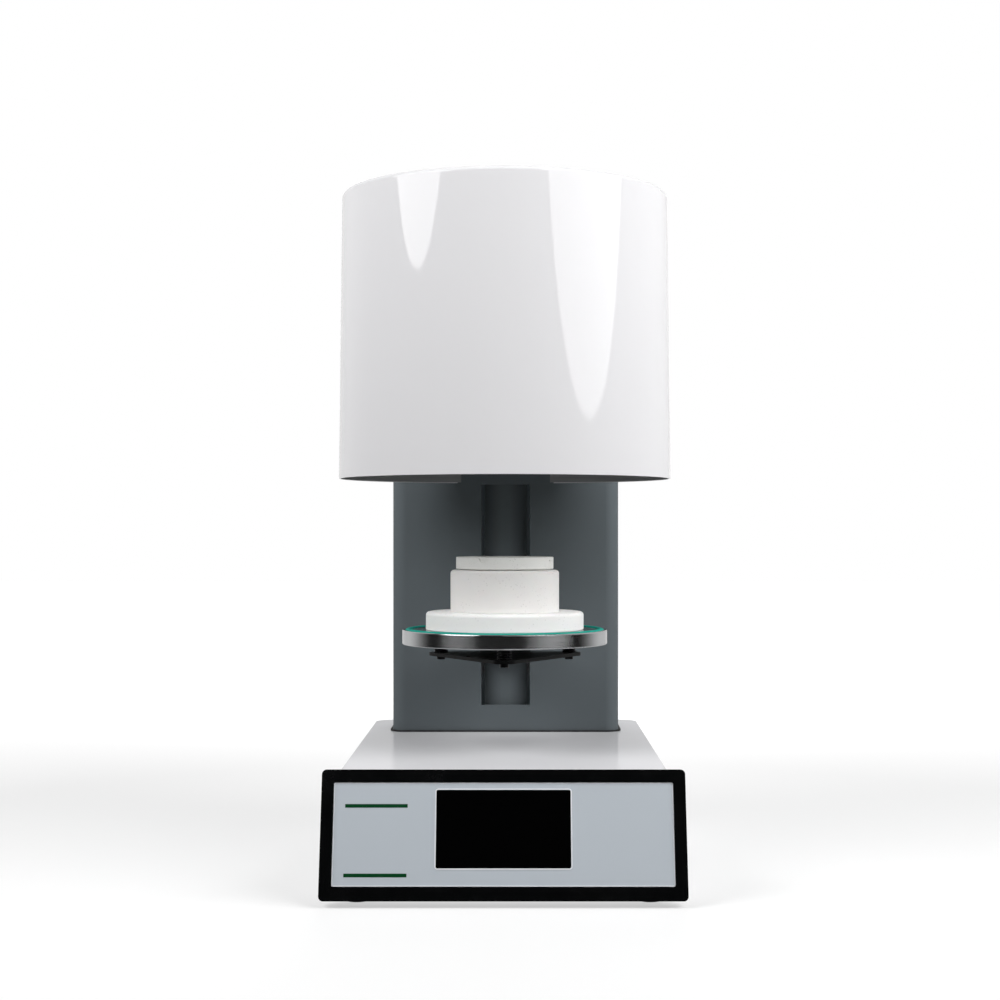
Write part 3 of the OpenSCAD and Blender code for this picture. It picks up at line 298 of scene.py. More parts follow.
def makePaint(name, look):
    # sprayed or powder-coated sheet; rubbed edges show the undercoat
    look = {**paintBase, **look}
    material, tree, shader = startMaterial(name, {
        "IOR": 1.5, "Specular IOR Level": look["specular"], "Metallic": 0.0})
    skin = placeGroup(tree, paintSkin, {"Grain": look["grain"], "Drift": look["drift"]})
    marks = placeGroup(tree, smudges, {"Size": look["markSize"], "Dust": look["dustSize"]})
    wear = placeGroup(tree, edgeWear, {"Width": look["wearWidth"]})
    colour = mixColour(tree, skin["Tone"], shade(look["colour"], 1 - look["spread"]),
                       shade(look["colour"], 1 + look["spread"]))
    colour = layColour(tree, colour, marks["Specks"], look["dust"], rgba(look["dustColour"]))
    colour = layColour(tree, colour, wear["Mask"], look["wear"], rgba(look["under"]))
    if "paintedTopLight" in look:  # painted light: what faces up is painted lighter, as if lit
        up = splitVector(tree, surfaceNormal(tree))[2]
        colour = mixColour(tree, remap(tree, up, look["facing"]), colour, rgba(look["paintedTopLight"]))
    if "paintedSideShade" in look:  # painted shade that deepens towards both sides of a strip, the shade of the recess it lies in
        inner, outer, share = look["paintedSideShade"]
        across = calc(tree, "ABSOLUTE", splitVector(tree, ownCoords(tree))[0])
        colour = mixColour(tree, remap(tree, across, (inner, outer), (0.0, share)), colour, black)
    setSurface(tree, shader, look, colour, skin["Gloss"], skin["Height"], marks)
    return material


def metalColour(tree, look, grain, cloud):
    # the grain's two tones, then stains, then bright rubbed edges
    wear = placeGroup(tree, edgeWear, {"Width": look["wearWidth"]})
    dim, bright = (shade(look["colour"], share) for share in look["tones"])
    colour = mixColour(tree, grain, dim, bright)
    colour = layColour(tree, colour, cloud, look["stain"], rgba(look["stainColour"]))
    return layColour(tree, colour, wear["Mask"], look["wear"], rgba(look["worn"]))


brushedBase = {"paintedGlow": (0.0, 0.0, 0.0), "tones": (0.8, 1.12), "stain": 0.2,
               "stainColour": (0.3, 0.29, 0.27), "wear": 0.5, "worn": (0.8, 0.8, 0.8),
               "wearWidth": 0.0006, "markSize": 40.0, "marks": 0.08, "depth": 0.00002,
               "bump": 0.6}


def makeBrushedMetal(name, look):
    look = {**brushedBase, **look}
    # the emission is a painted glow, none unless a look gives one
    material, tree, shader = startMaterial(name, {
        "Metallic": 1.0, "Emission Color": rgba(look["paintedGlow"]), "Emission Strength": 1.0})
    grain = placeGroup(tree, brushedGrain, {"Stretch": look["stretch"]})
    marks = placeGroup(tree, smudges, {"Size": look["markSize"]})
    colour = metalColour(tree, look, grain["Streak"], grain["Cloud"])
    setSurface(tree, shader, look, colour, grain["Streak"], grain["Streak"], marks)
    return material


turnedBase = {"drawn": 0.0, "grazing": (1.0, 1.0, 1.0), "tones": (0.78, 1.15), "stain": 0.15,
              "stainColour": (0.33, 0.31, 0.28), "wear": 0.5, "worn": (0.85, 0.85, 0.85),
              "wearWidth": 0.0006, "markSize": 35.0, "marks": 0.1, "depth": 0.00002,
              "bump": 0.5}


def makeTurnedMetal(name, look):
    # the grooves run round the axis, so reflections are drawn out across them
    look = {**turnedBase, **look}
    material, tree, shader = startMaterial(name, {
        "Metallic": 1.0, "Anisotropic": look["drawn"], "Anisotropic Rotation": 0.25,
        "Specular Tint": rgba(look["grazing"])})
    if look["drawn"]:
        around = putNode(tree, "Tangent", {"direction_type": "RADIAL", "axis": "Z"})
        tree.links.new(around.outputs[0], shader.inputs["Tangent"])
    grain = placeGroup(tree, turnedGrain, {"Centre": look["centre"], "Pitch": look["pitch"]})
    marks = placeGroup(tree, smudges, {"Size": look["markSize"]})
    colour = metalColour(tree, look, grain["Ring"], grain["Cloud"])
    setSurface(tree, shader, look, colour, grain["Ring"], grain["Ring"], marks)
    return material


ceramicBase = {"specular": 0.25, "soft": 0.0, "softDepth": 0.002, "pitShade": 0.35,
               "pitTone": 0.55, "wear": 0.35, "wearWidth": 0.0012, "patches": 240.0}


def makeCeramic(name, look):
    look = {**ceramicBase, **look}
    material, tree, shader = startMaterial(name, {
        "Specular IOR Level": look["specular"], "Metallic": 0.0,
        "Subsurface Weight": look["soft"], "Subsurface Scale": look["softDepth"]})
    face = placeGroup(tree, fibreFace, {"Fuzz": look["fuzz"], "Pits": look["pits"]})
    wear = placeGroup(tree, edgeWear, {"Width": look["wearWidth"], "Patches": look["patches"]})
    colour = mixColour(tree, face["Tone"], rgba(look["colour"]), rgba(look["second"]))
    colour = layColour(tree, colour, face["Pit"], look["pitShade"],
                       shade(look["second"], look["pitTone"]))
    colour = layColour(tree, colour, wear["Mask"], look["wear"], rgba(look["edge"]))
    setSurface(tree, shader, look, colour, face["Tone"], face["Height"])
    return material


mouldedBase = {"specular": 0.4, "soft": 0.0, "softDepth": 0.002, "drift": 20.0,
               "tones": (0.88, 1.1), "markSize": 50.0, "marks": 0.08, "dustSize": 1500.0,
               "dust": 0.12, "dustColour": (0.45, 0.44, 0.42), "wear": 0.2, "rub": 2.2,
               "wearWidth": 0.0005}


def makeMoulded(name, look):
    # moulded plastic or rubber, with the mould's fine texture and dust in it
    look = {**mouldedBase, **look}
    material, tree, shader = startMaterial(name, {
        "Specular IOR Level": look["specular"], "Metallic": 0.0,
        "Subsurface Weight": look["soft"], "Subsurface Scale": look["softDepth"]})
    skin = placeGroup(tree, paintSkin, {"Grain": look["grain"], "Drift": look["drift"]})
    marks = placeGroup(tree, smudges, {"Size": look["markSize"], "Dust": look["dustSize"]})
    wear = placeGroup(tree, edgeWear, {"Width": look["wearWidth"]})
    dim, bright = (shade(look["colour"], share) for share in look["tones"])
    colour = mixColour(tree, skin["Tone"], dim, bright)
    colour = layColour(tree, colour, marks["Specks"], look["dust"], rgba(look["dustColour"]))
    colour = layColour(tree, colour, wear["Mask"], look["wear"], shade(look["colour"], look["rub"]))
    setSurface(tree, shader, look, colour, skin["Gloss"], skin["Height"], marks)
    return material


def makeScreenGlass(name, look):
    # black glass over a dark display, with faint wipe marks
    material, tree, shader = startMaterial(name, {"Metallic": 0.0, "IOR": 1.5,
                                                  "Specular IOR Level": look["specular"]})
    marks = placeGroup(tree, smudges, {"Size": look["markSize"], "Dust": look["dustSize"]})
    colour = layColour(tree, rgba(look["colour"]), marks["Specks"], look["dust"],
                       rgba(look["dustColour"]))
    tree.links.new(colour, shader.inputs["Base Color"])
    tree.links.new(remap(tree, marks["Mask"], (0.0, 1.0), look["rough"]),
                   shader.inputs["Roughness"])
    return material


def makeBoard(name, look):
    # circuit board lacquer over a net of tracks
    material, tree, shader = startMaterial(name, {"Specular IOR Level": look["specular"],
                                                  "Metallic": 0.0})
    coords = ownCoords(tree)
    net = cells(tree, coords, look["tracks"], "MANHATTAN")
    track = remap(tree, calc(tree, "FRACT", calc(tree, "MULTIPLY", net, look["lines"])),
                  look["gap"])
    colour = mixColour(tree, track, rgba(look["colour"]), rgba(look["copper"]))
    setSurface(tree, shader, look, colour, noise(tree, coords, look["cloud"]), track)
    return material


def makeWinding(name, look):
    # a taped coil: overlapping turns of yellow tape round an upright ring
    material, tree, shader = startMaterial(name, {"Specular IOR Level": look["specular"],
                                                  "Metallic": 0.0})
    coords = ownCoords(tree)
    parts = splitVector(tree, vectorCalc(tree, "SUBTRACT", coords, look["centre"])[0])
    around = calc(tree, "ARCTAN2", parts[1], parts[0])
    turn = calc(tree, "FRACT", calc(tree, "MULTIPLY", around, look["turns"] / (2 * math.pi)))
    fold = noise(tree, coords, look["folds"], detail=3.0)
    colour = mixColour(tree, remap(tree, turn, look["lap"]), shade(look["colour"], look["dim"]),
                       rgba(look["colour"]))
    colour = layColour(tree, colour, fold, look["creased"], shade(look["colour"], look["bright"]))
    height = calc(tree, "ADD", turn, calc(tree, "MULTIPLY", fold, look["creased"]))
    setSurface(tree, shader, look, colour, fold, height)
    return material


paintLooks = {
    "whiteEnamel": {"colour": (0.80, 0.795, 0.81), "under": (0.5, 0.5, 0.5), "grain": 420.0,
                    "drift": 6.0, "spread": 0.008, "depth": 0.0000035, "rough": (0.025, 0.045),
                    "specular": 0.34, "wear": 0.12, "dust": 0.03, "marks": 0.02},
    "baseEnamel": {"colour": (0.78, 0.78, 0.80), "under": (0.5, 0.5, 0.5), "grain": 420.0,
                   "drift": 6.0, "spread": 0.008, "depth": 0.0000035, "rough": (0.10, 0.15),
                   "specular": 0.004, "wear": 0.12, "dust": 0.03, "marks": 0.02},
    "columnGrey": {"colour": (0.127, 0.1465, 0.157), "under": (0.2, 0.21, 0.22), "grain": 2600.0,
                   "drift": 7.0, "spread": 0.05, "depth": 0.00004, "rough": (0.5, 0.6),
                   "specular": 0.07, "wear": 0.25, "dust": 0.10, "marks": 0.05},
    "panGrey": {"colour": (0.27, 0.275, 0.278), "under": (0.2, 0.2, 0.2), "grain": 2200.0,
                "depth": 0.00004, "rough": (0.5, 0.6), "specular": 0.2, "wear": 0.05, "dust": 0.1},
    "armBlack": {"colour": (0.004, 0.0042, 0.0043), "under": (0.12, 0.12, 0.12), "grain": 2000.0,
                 "depth": 0.00003, "rough": (0.42, 0.52), "specular": 0.1, "wear": 0.15,
                 "dust": 0.08, "paintedTopLight": (0.075, 0.075, 0.072)},
    "panelSilver": {"colour": (0.51, 0.555, 0.60), "under": (0.6, 0.63, 0.66), "grain": 3400.0,
                    "drift": 12.0, "spread": 0.015, "depth": 0.00001, "rough": (0.3, 0.38),
                    "specular": 0.35, "wear": 0.25, "wearWidth": 0.0003, "dust": 0.04},
    "bezelBlack": {"colour": (0.0015, 0.0017, 0.0019), "under": (0.03, 0.03, 0.03), "grain": 900.0,
                   "depth": 0.000006, "rough": (0.16, 0.24), "specular": 0.3, "wear": 0.3,
                   "dust": 0.02, "dustColour": (0.2, 0.2, 0.2), "marks": 0.08},
    "stripGreen": {"colour": (0.002, 0.048, 0.013), "under": (0.02, 0.1, 0.04), "grain": 3000.0,
                   "depth": 0.000004, "rough": (0.28, 0.36), "specular": 0.12, "wear": 0.05,
                   "dust": 0.02},
    "trimPale": {"colour": (0.84, 0.86, 0.89), "under": (0.8, 0.8, 0.8), "grain": 1500.0,
                 "spread": 0.01, "depth": 0.000002, "rough": (0.4, 0.5), "specular": 0.3,
                 "wear": 0.0, "dust": 0.01},
}
# the slot's strip: column grey with painted shade towards both its sides
paintLooks["slotGreyPaintedShade"] = dict(paintLooks["columnGrey"], paintedSideShade=(0.004, 0.021, 0.45))
metalLooks = {
    "zincSteel": {"colour": (0.56, 0.57, 0.59), "stretch": (40.0, 40.0, 900.0),
                  "rough": (0.28, 0.42), "stain": 0.3},
    "blockAluminium": {"colour": (0.62, 0.63, 0.65), "stretch": (1600.0, 60.0, 60.0),
                       "rough": (0.24, 0.38), "stain": 0.15},
    "boltBlack": {"colour": (0.035, 0.035, 0.037), "stretch": (300.0, 300.0, 1200.0),
                  "rough": (0.3, 0.42), "stain": 0.2, "stainColour": (0.06, 0.05, 0.04)},
    "screwSteel": {"colour": (0.6, 0.6, 0.6), "stretch": (900.0, 900.0, 900.0),
                   "rough": (0.22, 0.34), "stain": 0.25},
}
# the painted glow stands in for the light that bounces about inside the column
metalLooks["spineSteelPaintedGlow"] = dict(metalLooks["zincSteel"], paintedGlow=(0.0100, 0.0125, 0.0140))
turnedLooks = {
    "rimSteel": {"colour": (0.53, 0.54, 0.55), "centre": (0.0, axisY, 0.0), "pitch": 1500.0,
                 "rough": (0.185, 0.2), "stain": 0.06, "stainColour": (0.4, 0.38, 0.3),
                 "drawn": 1.0, "depth": 0.0, "wear": 0.0, "tones": (0.95, 1.04),
                 "grazing": (0.8, 0.8, 0.8), "marks": 0.01},
    "chamberSteel": {"colour": (0.6, 0.6, 0.6), "centre": (0.0, axisY, 0.0), "pitch": 900.0,
                     "rough": (0.28, 0.42), "stain": 0.3, "stainColour": (0.35, 0.29, 0.22)},
    "rodSteel": {"colour": (0.74, 0.75, 0.77), "centre": (0.0, driveY, 0.0), "pitch": 700.0,
                 "rough": (0.06, 0.14), "stain": 0.05},
    "nutBronze": {"colour": (0.55, 0.36, 0.13), "centre": (0.0, driveY, 0.0), "pitch": 1300.0,
                  "rough": (0.24, 0.38), "stain": 0.25, "stainColour": (0.22, 0.13, 0.05)},
    "nippleBrass": {"colour": (0.66, 0.48, 0.2), "centre": (-0.028, 0.2, 0.045), "pitch": 1300.0,
                    "rough": (0.2, 0.32), "stain": 0.15, "stainColour": (0.3, 0.2, 0.08)},
    "coilAlloy": {"colour": (0.24, 0.2, 0.17), "centre": (0.0, axisY, 0.0), "pitch": 600.0,
                  "rough": (0.5, 0.7), "stain": 0.5, "stainColour": (0.1, 0.09, 0.1)},
}
ceramicLooks = {
    "discWhite": {"colour": (0.96, 0.96, 0.95), "second": (0.91, 0.91, 0.895),
                  "fuzz": 1500.0, "pits": 380.0, "depth": 0.00012, "rough": (0.85, 1.0),
                  "specular": 0.15, "edge": (0.94, 0.94, 0.93), "soft": 0.05},
    "fibreWhite": {"colour": (0.90, 0.885, 0.87), "second": (0.83, 0.815, 0.80),
                   "fuzz": 1500.0, "pits": 380.0, "depth": 0.00012, "rough": (0.85, 1.0),
                   "specular": 0.15, "edge": (0.88, 0.88, 0.87), "soft": 0.05},
    "tableGrey": {"colour": (0.92, 0.925, 0.895), "second": (0.84, 0.84, 0.81), "fuzz": 2200.0,
                  "pits": 520.0, "depth": 0.00006, "rough": (0.7, 0.9), "specular": 0.2,
                  "pitShade": 0.5, "edge": (0.78, 0.78, 0.77)},
    "quartzWall": {"colour": (0.72, 0.73, 0.73), "second": (0.6, 0.6, 0.58), "fuzz": 300.0,
                   "pits": 200.0, "depth": 0.00002, "rough": (0.25, 0.4), "specular": 0.5,
                   "edge": (0.72, 0.73, 0.73)},
    "steatite": {"colour": (0.78, 0.75, 0.68), "second": (0.7, 0.66, 0.57), "fuzz": 900.0,
                 "pits": 300.0, "depth": 0.00002, "rough": (0.2, 0.35), "specular": 0.5,
                 "edge": (0.78, 0.75, 0.68)},
}
mouldedLooks = {
    "sealTeal": {"colour": (0.007, 0.36, 0.285), "grain": 1600.0, "depth": 0.00001,
                 "rough": (0.5, 0.6), "specular": 0.08, "dust": 0.02, "rub": 1.3},
    "rubberBlack": {"colour": (0.016, 0.016, 0.017), "grain": 2600.0, "depth": 0.00006,
                    "rough": (0.65, 0.85), "dust": 0.25},
    "blackPlastic": {"colour": (0.014, 0.014, 0.015), "grain": 2400.0, "depth": 0.00003,
                     "rough": (0.35, 0.5), "dust": 0.12},
    "rockerRed": {"colour": (0.42, 0.016, 0.014), "grain": 1200.0, "depth": 0.00001,
                  "rough": (0.16, 0.26), "dust": 0.05, "rub": 1.3, "soft": 0.05},
    "motorBlack": {"colour": (0.02, 0.021, 0.023), "grain": 1800.0, "depth": 0.00005,
                   "rough": (0.42, 0.6), "dust": 0.1},
}
glassLooks = {
    "screenBlack": {"colour": (0.0006, 0.0006, 0.0007), "specular": 0.3, "rough": (0.04, 0.1),
                    "markSize": 38.0, "dustSize": 1300.0, "dust": 0.02,
                    "dustColour": (0.3, 0.3, 0.3)},
}
boardLooks = {
    "boardGreen": {"colour": (0.012, 0.11, 0.045), "copper": (0.03, 0.2, 0.08), "tracks": 160.0,
                   "lines": 5.0, "gap": (0.5, 0.56), "cloud": 80.0, "rough": (0.28, 0.45),
                   "specular": 0.5, "depth": 0.00003},
}
windingLooks = {
    "coreTape": {"colour": (0.5, 0.34, 0.06), "turns": 42.0, "centre": (-0.072, 0.032, 0.0),
                 "lap": (0.0, 0.12), "folds": 300.0, "creased": 0.3, "dim": 0.55, "bright": 1.4,
                 "rough": (0.3, 0.5), "specular": 0.45, "depth": 0.0003},
}
finishes = {}
for looks, build in ((paintLooks, makePaint), (metalLooks, makeBrushedMetal),
                     (turnedLooks, makeTurnedMetal), (ceramicLooks, makeCeramic),
                     (mouldedLooks, makeMoulded), (glassLooks, makeScreenGlass),
                     (boardLooks, makeBoard), (windingLooks, makeWinding)):
    for name, look in looks.items():
        finishes[name] = build(name, look)
print("finishes built:", len(finishes))

nodeFinishes = {
    "whiteEnamel": ["head_cover"],
    "baseEnamel": ["base_cover"],
    "columnGrey": ["column_shell", "column_rear_cover", "column_top_cap", "rear_panel"],
    "slotGreyPaintedShade": ["slot_cover"],
    "panGrey": ["head_base"],
    "bezelBlack": ["front_bezel"],
    "panelSilver": ["front_panel"],
    "screenBlack": ["screen_glass"],
    "armBlack": ["lift_arm"],
    "zincSteel": ["base_pan", "head_frame", "motor_mount", "vacuum_valve"],
    "spineSteelPaintedGlow": ["tower_spine"],
    "blockAluminium": ["lower_bearing_block", "upper_bearing_block", "carriage_block",
                       "shaft_coupling"],
    "rodSteel": ["guide_rods", "rod_bushings", "motor_shaft", "lead_screw"],
    "nutBronze": ["lift_nut"],
    "nippleBrass": ["hose_nipple"],
    "rimSteel": ["lift_plate"],
    "chamberSteel": ["chamber_flange", "chamber_can", "chamber_lid"],
    "boltBlack": ["adjuster_bolts", "adjuster_springs"],
    "sealTeal": ["seal_ring"],
    "discWhite": ["insulation_disc"],
    "fibreWhite": ["insulation_plug", "insulation_ring", "chamber_insulation"],
    "tableGrey": ["firing_table"],
    "quartzWall": ["muffle"],
    "steatite": ["thermocouple", "heater_terminals"],
    "coilAlloy": ["heating_coil"],
    "rubberBlack": ["rubber_feet", "column_gasket", "vacuum_hose"],
    "blackPlastic": ["solid_state_relay", "power_inlet", "switch_frame", "fuse_holders",
                     "pump_outlet", "fan_frame", "fan_rotor", "limit_switches"],
    "rockerRed": ["switch_rocker"],
    "motorBlack": ["lift_motor"],
    "boardGreen": ["display_module", "control_board"],
    "coreTape": ["transformer"],
}
for finish, names in nodeFinishes.items():
    for name in names:
        cad = cadNodes[name]
        if not cad.material_slots:
            cad.data.materials.append(finishes[finish])
        for place in cad.material_slots:
            place.material = finishes[finish]
print("frame nodes dressed:", sum(len(names) for names in nodeFinishes.values()))


sharpAngle = math.radians(35)


def addPiece(name, mesh, finish, body):
    piece = bpy.data.objects.new(name, mesh)
    scene.collection.objects.link(piece)
    mesh.materials.append(finishes[finish])
    mesh.validate()
    for face in mesh.polygons:
        face.use_smooth = True
    mesh.set_sharp_from_angle(angle=sharpAngle)
    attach(piece, body)
    return piece


def takeMesh(name, build):
    mesh = bpy.data.meshes.new(name)
    build.to_mesh(mesh)
    build.free()
    return mesh


def ringMesh(name, loops, closeLoop=False):
    # skins loops of equal length, and ends in two caps or, with closeLoop, at its start
    build = bmesh.new()
    rows = [[build.verts.new(point) for point in loop] for loop in loops]
    count = len(rows[0])
    pairs = list(zip(rows, rows[1:])) + ([(rows[-1], rows[0])] if closeLoop else [])
    for low, high in pairs:
        for i in range(count):
            j = (i + 1) % count
            build.faces.new((low[i], low[j], high[j], high[i]))
    if not closeLoop:
        build.faces.new(list(reversed(rows[0])))
        build.faces.new(rows[-1])
    bmesh.ops.recalc_face_normals(build, faces=build.faces)
    return takeMesh(name, build)


def joinMeshes(name, meshes):
    build = bmesh.new()
    for mesh in meshes:
        build.from_mesh(mesh)
        bpy.data.meshes.remove(mesh)
    return takeMesh(name, build)


def circle(x, y, r, z, sides):
    angles = [2 * math.pi * i / sides for i in range(sides)]
    return [(x + r * math.cos(a), y + r * math.sin(a), z) for a in angles]


def latheMesh(name, profile, x, y, sides=64, closeLoop=False):
    return ringMesh(name, [circle(x, y, r, z, sides) for r, z in profile], closeLoop)


def aim(axis):
    # a turn that takes +Z to axis
    return Vector((0, 0, 1)).rotation_difference(Vector(axis).normalized()).to_matrix().to_4x4()


screwShape = {"sunk": 0.0004, "dome": ((1.0, 0.35), (0.93, 0.68), (0.8, 0.88), (0.62, 0.98)),
              "long": 0.52, "wide": 0.15, "lip": (0.92, 0.0001), "floor": 0.8, "sides": 48}


def crossReach(angle, long, wide):
    # distance from the centre to the edge of a plus-shaped recess
    a = abs(math.remainder(angle, math.pi / 2))
    return long / math.cos(a) if math.tan(a) <= wide / long else wide / math.sin(a)


def screwMesh(name, place, axis, head, shape):
    # a domed head with a cross recess; shape's shares are of the head's radius or height
    r, h, sides = head["r"], head["h"], shape["sides"]
    loops = [circle(0, 0, r, -shape["sunk"], sides)]
    loops += [circle(0, 0, r * out, h * up, sides) for out, up in shape["dome"]]
    angles = [2 * math.pi * i / sides for i in range(sides)]
    reach = [crossReach(a, r * shape["long"], r * shape["wide"]) for a in angles]
    for share, z in ((1.0, h), (shape["lip"][0], h - shape["lip"][1]),
                     (shape["floor"], h - head["deep"])):
        loops.append([(far * share * math.cos(a), far * share * math.sin(a), z)
                      for a, far in zip(angles, reach)])
    mesh = ringMesh(name, loops)
    mesh.transform(Matrix.Translation(place) @ aim(axis))
    return mesh


def addScrews(name, places, axis, head):
    meshes = [screwMesh(name, place, axis, head, screwShape) for place in places]
    return addPiece(name, joinMeshes(name, meshes), "screwSteel", "housing")


heads = {"pan": {"r": 0.0028, "h": 0.0016, "deep": 0.0010},
         "small": {"r": 0.0022, "h": 0.0013, "deep": 0.0008},
         "foot": {"r": 0.003, "h": 0.0016, "deep": 0.001}}
coverScrews = {"x": 0.0935, "y": 0.2065, "heights": (0.1215, 0.277, 0.4325, 0.588)}
panelScrews = {"x": 0.1105, "y": 0.2115, "heights": (0.0235, 0.0885)}
socketScrews = {"middles": (0.089, 0.008), "apart": 0.0188, "y": 0.2145, "height": 0.045}
fanScrews = {"x": -0.09, "apart": 0.02, "height": 0.056}
footScrews = {"x": 0.121, "rows": (-0.197, 0.183), "height": 0.0019}
backward, downward, bothSides = (0, 1, 0), (0, 0, -1), (-1, 1)
socketPlaces = [(middle + side * socketScrews["apart"], socketScrews["y"], socketScrews["height"])
                for middle in socketScrews["middles"] for side in bothSides]
addScrews("rear_cover_screws", [(side * coverScrews["x"], coverScrews["y"], z)
                                for side in bothSides for z in coverScrews["heights"]],
          backward, heads["pan"])
addScrews("rear_panel_screws", [(side * panelScrews["x"], panelScrews["y"], z)
                                for side in bothSides for z in panelScrews["heights"]]
          + socketPlaces, backward, heads["small"])
addScrews("fan_screws", [(fanScrews["x"] + sx * fanScrews["apart"], panelScrews["y"],
                          fanScrews["height"] + sz * fanScrews["apart"])
                         for sx in bothSides for sz in bothSides], backward, heads["small"])
addScrews("foot_screws", [(side * footScrews["x"], y, footScrews["height"])
                          for side in bothSides for y in footScrews["rows"]],
          downward, heads["foot"])
print("screws set")

# shape lists (share of the pitch, 1 on the crest and 0 on the root)
threadLook = {"pitch": 0.004, "root": 0.0049, "crest": 0.006, "steps": 32,
              "shape": ((0.0, 0), (0.32, 0), (0.42, 1), (0.9, 1))}
# each From and To is measured from the end that it is near
spindleLook = {"r": 0.006, "collar": 0.0085, "collarFrom": 0.010, "collarTo": 0.0113,
               "footTip": 0.0056, "footBevel": 0.0004, "footTo": 0.030, "headTip": 0.0054,
               "headBevel": 0.0006, "headFrom": 0.022, "threadFrom": 0.026, "threadTo": 0.018}


def threadMesh(name, look, x, y, low, high):
    pitch, root, steps = look["pitch"], look["root"], look["steps"]
    build = bmesh.new()
    last = int((high - low) / pitch) * steps
    rows = []
    for k in range(last + 1):
        a = 2 * math.pi * k / steps
        fade = min(1.0, k / steps, (last - k) / steps)
        crest = root + (look["crest"] - root) * fade
        rows.append([build.verts.new((x + r * math.cos(a), y + r * math.sin(a),
                                      low + pitch * (k / steps + share)))
                     for share, r in ((s, crest if top else root) for s, top in look["shape"])])
    for k in range(last):
        here, there = rows[k], rows[k + 1]
        for i in range(len(here) - 1):
            build.faces.new((here[i], there[i], there[i + 1], here[i + 1]))
        if k + steps < last:
            build.faces.new((here[-1], there[-1], rows[k + steps + 1][0], rows[k + steps][0]))
    bmesh.ops.recalc_face_normals(build, faces=build.faces)
    return takeMesh(name, build)


def makeLeadScrew(look, thread):
    low, high = (corner.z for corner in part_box("lead_screw"))
    r, collar, bevel = look["r"], look["collar"], look["footBevel"]
    collarLow, collarHigh = low + look["collarFrom"], low + look["collarTo"]
    foot = [(look["footTip"], low), (r, low + bevel), (r, collarLow), (collar, collarLow),
            (collar, collarHigh), (r, collarHigh), (r, low + look["footTo"])]
    head = [(r, high - look["headFrom"]), (r, high - look["headBevel"]), (look["headTip"], high)]
    return joinMeshes("lead_screw_thread", [
        latheMesh("screwFoot", foot, 0, driveY), latheMesh("screwHead", head, 0, driveY),
        threadMesh("screwThread", thread, 0, driveY, low + look["threadFrom"],
                   high - look["threadTo"])])


leadScrew = addPiece("lead_screw_thread", makeLeadScrew(spindleLook, threadLook), "rodSteel",
                     "screw")
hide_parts("lead_screw")
print("lead screw cut")


def sweep(name, path, radius, sides=16):
    # a round wire or hose along a list of points, with a steady frame
    points = [Vector(p) for p in path]
    tangents = [(ahead - behind).normalized()
                for behind, ahead in zip(points[:1] + points, points[1:] + points[-1:])]
    side = tangents[0].orthogonal().normalized()
    loops = []
    for point, tangent in zip(points, tangents):
        side = (side - tangent * side.dot(tangent)).normalized()
        up = tangent.cross(side)
        loops.append([point + radius * (math.cos(b) * side + math.sin(b) * up)
                      for b in (2 * math.pi * k / sides for k in range(sides))])
    return ringMesh(name, loops)


def held(t):
    return min(1.0, max(0.0, t))


# flat is the share of a turn that lies flat at each end
springLook = {"reach": 0.069, "bearings": (-90, 30, 150), "radius": 0.0057, "wire": 0.0008,
              "low": 0.1924, "rise": 0.01019, "turns": 5.0, "flat": 0.55, "eased": 0.35,
              "steps": 36, "sides": 12, "keep": 0.705}


def springPath(look, x, y):
    # closed, flat end turns and open turns between them
    path = []
    low, high = look["low"] + look["wire"], look["low"] + look["rise"] - look["wire"]
    for k in range(int(look["turns"] * look["steps"]) + 1):
        turn = k / look["steps"]
        t = held((turn - look["flat"]) / (look["turns"] - 2 * look["flat"]))
        share = t * t * (3 - 2 * t) * look["eased"] + t * (1 - look["eased"])
        a = 2 * math.pi * turn
        path.append((x + look["radius"] * math.cos(a), y + look["radius"] * math.sin(a),
                     low + (high - low) * share))
    return path


def makeSprings(look):
    places = [(look["reach"] * math.cos(math.radians(b)),
               axisY + look["reach"] * math.sin(math.radians(b))) for b in look["bearings"]]
    return joinMeshes("adjuster_spring_coils", [
        sweep("spring", springPath(look, x, y), look["wire"], look["sides"]) for x, y in places])


springPiece = addPiece("adjuster_spring_coils", makeSprings(springLook), "boltBlack", "carriage")
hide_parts("adjuster_springs")
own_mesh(springPiece)
print("springs wound")

coilLook = {"wire": 0.0015, "turns": 8, "steps": 64, "sides": 14}


def coilPath(look, low, high):
    r = (high.x - low.x) / 2 - look["wire"]
    z0, z1 = low.z + look["wire"], high.z - look["wire"]
    total = look["turns"] * look["steps"]
    return [(r * math.cos(2 * math.pi * k / look["steps"]),
             axisY + r * math.sin(2 * math.pi * k / look["steps"]), z0 + (z1 - z0) * k / total)
            for k in range(total + 1)]


coil = sweep("heating_coil_wire", coilPath(coilLook, *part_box("heating_coil")), coilLook["wire"],
             coilLook["sides"])
coilPiece = addPiece("heating_coil_wire", coil, "coilAlloy", "housing")
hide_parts("heating_coil")
print("heating coil wound")

hoseLook = {"x": -0.028, "radius": 0.004, "sides": 20, "low": 0.072, "top": 0.5744,
            "back": 0.19425, "front": -0.004, "end": 0.5564, "bend": 0.016, "bendSteps": 14,
            "riseSteps": 40, "runSteps": 20}
clampLook = {"wall": 0.0007, "soft": 0.0003, "softShare": 0.3, "sides": 48,
             "back": (0.0735, 0.0785), "front": (0.5569, 0.5614)}


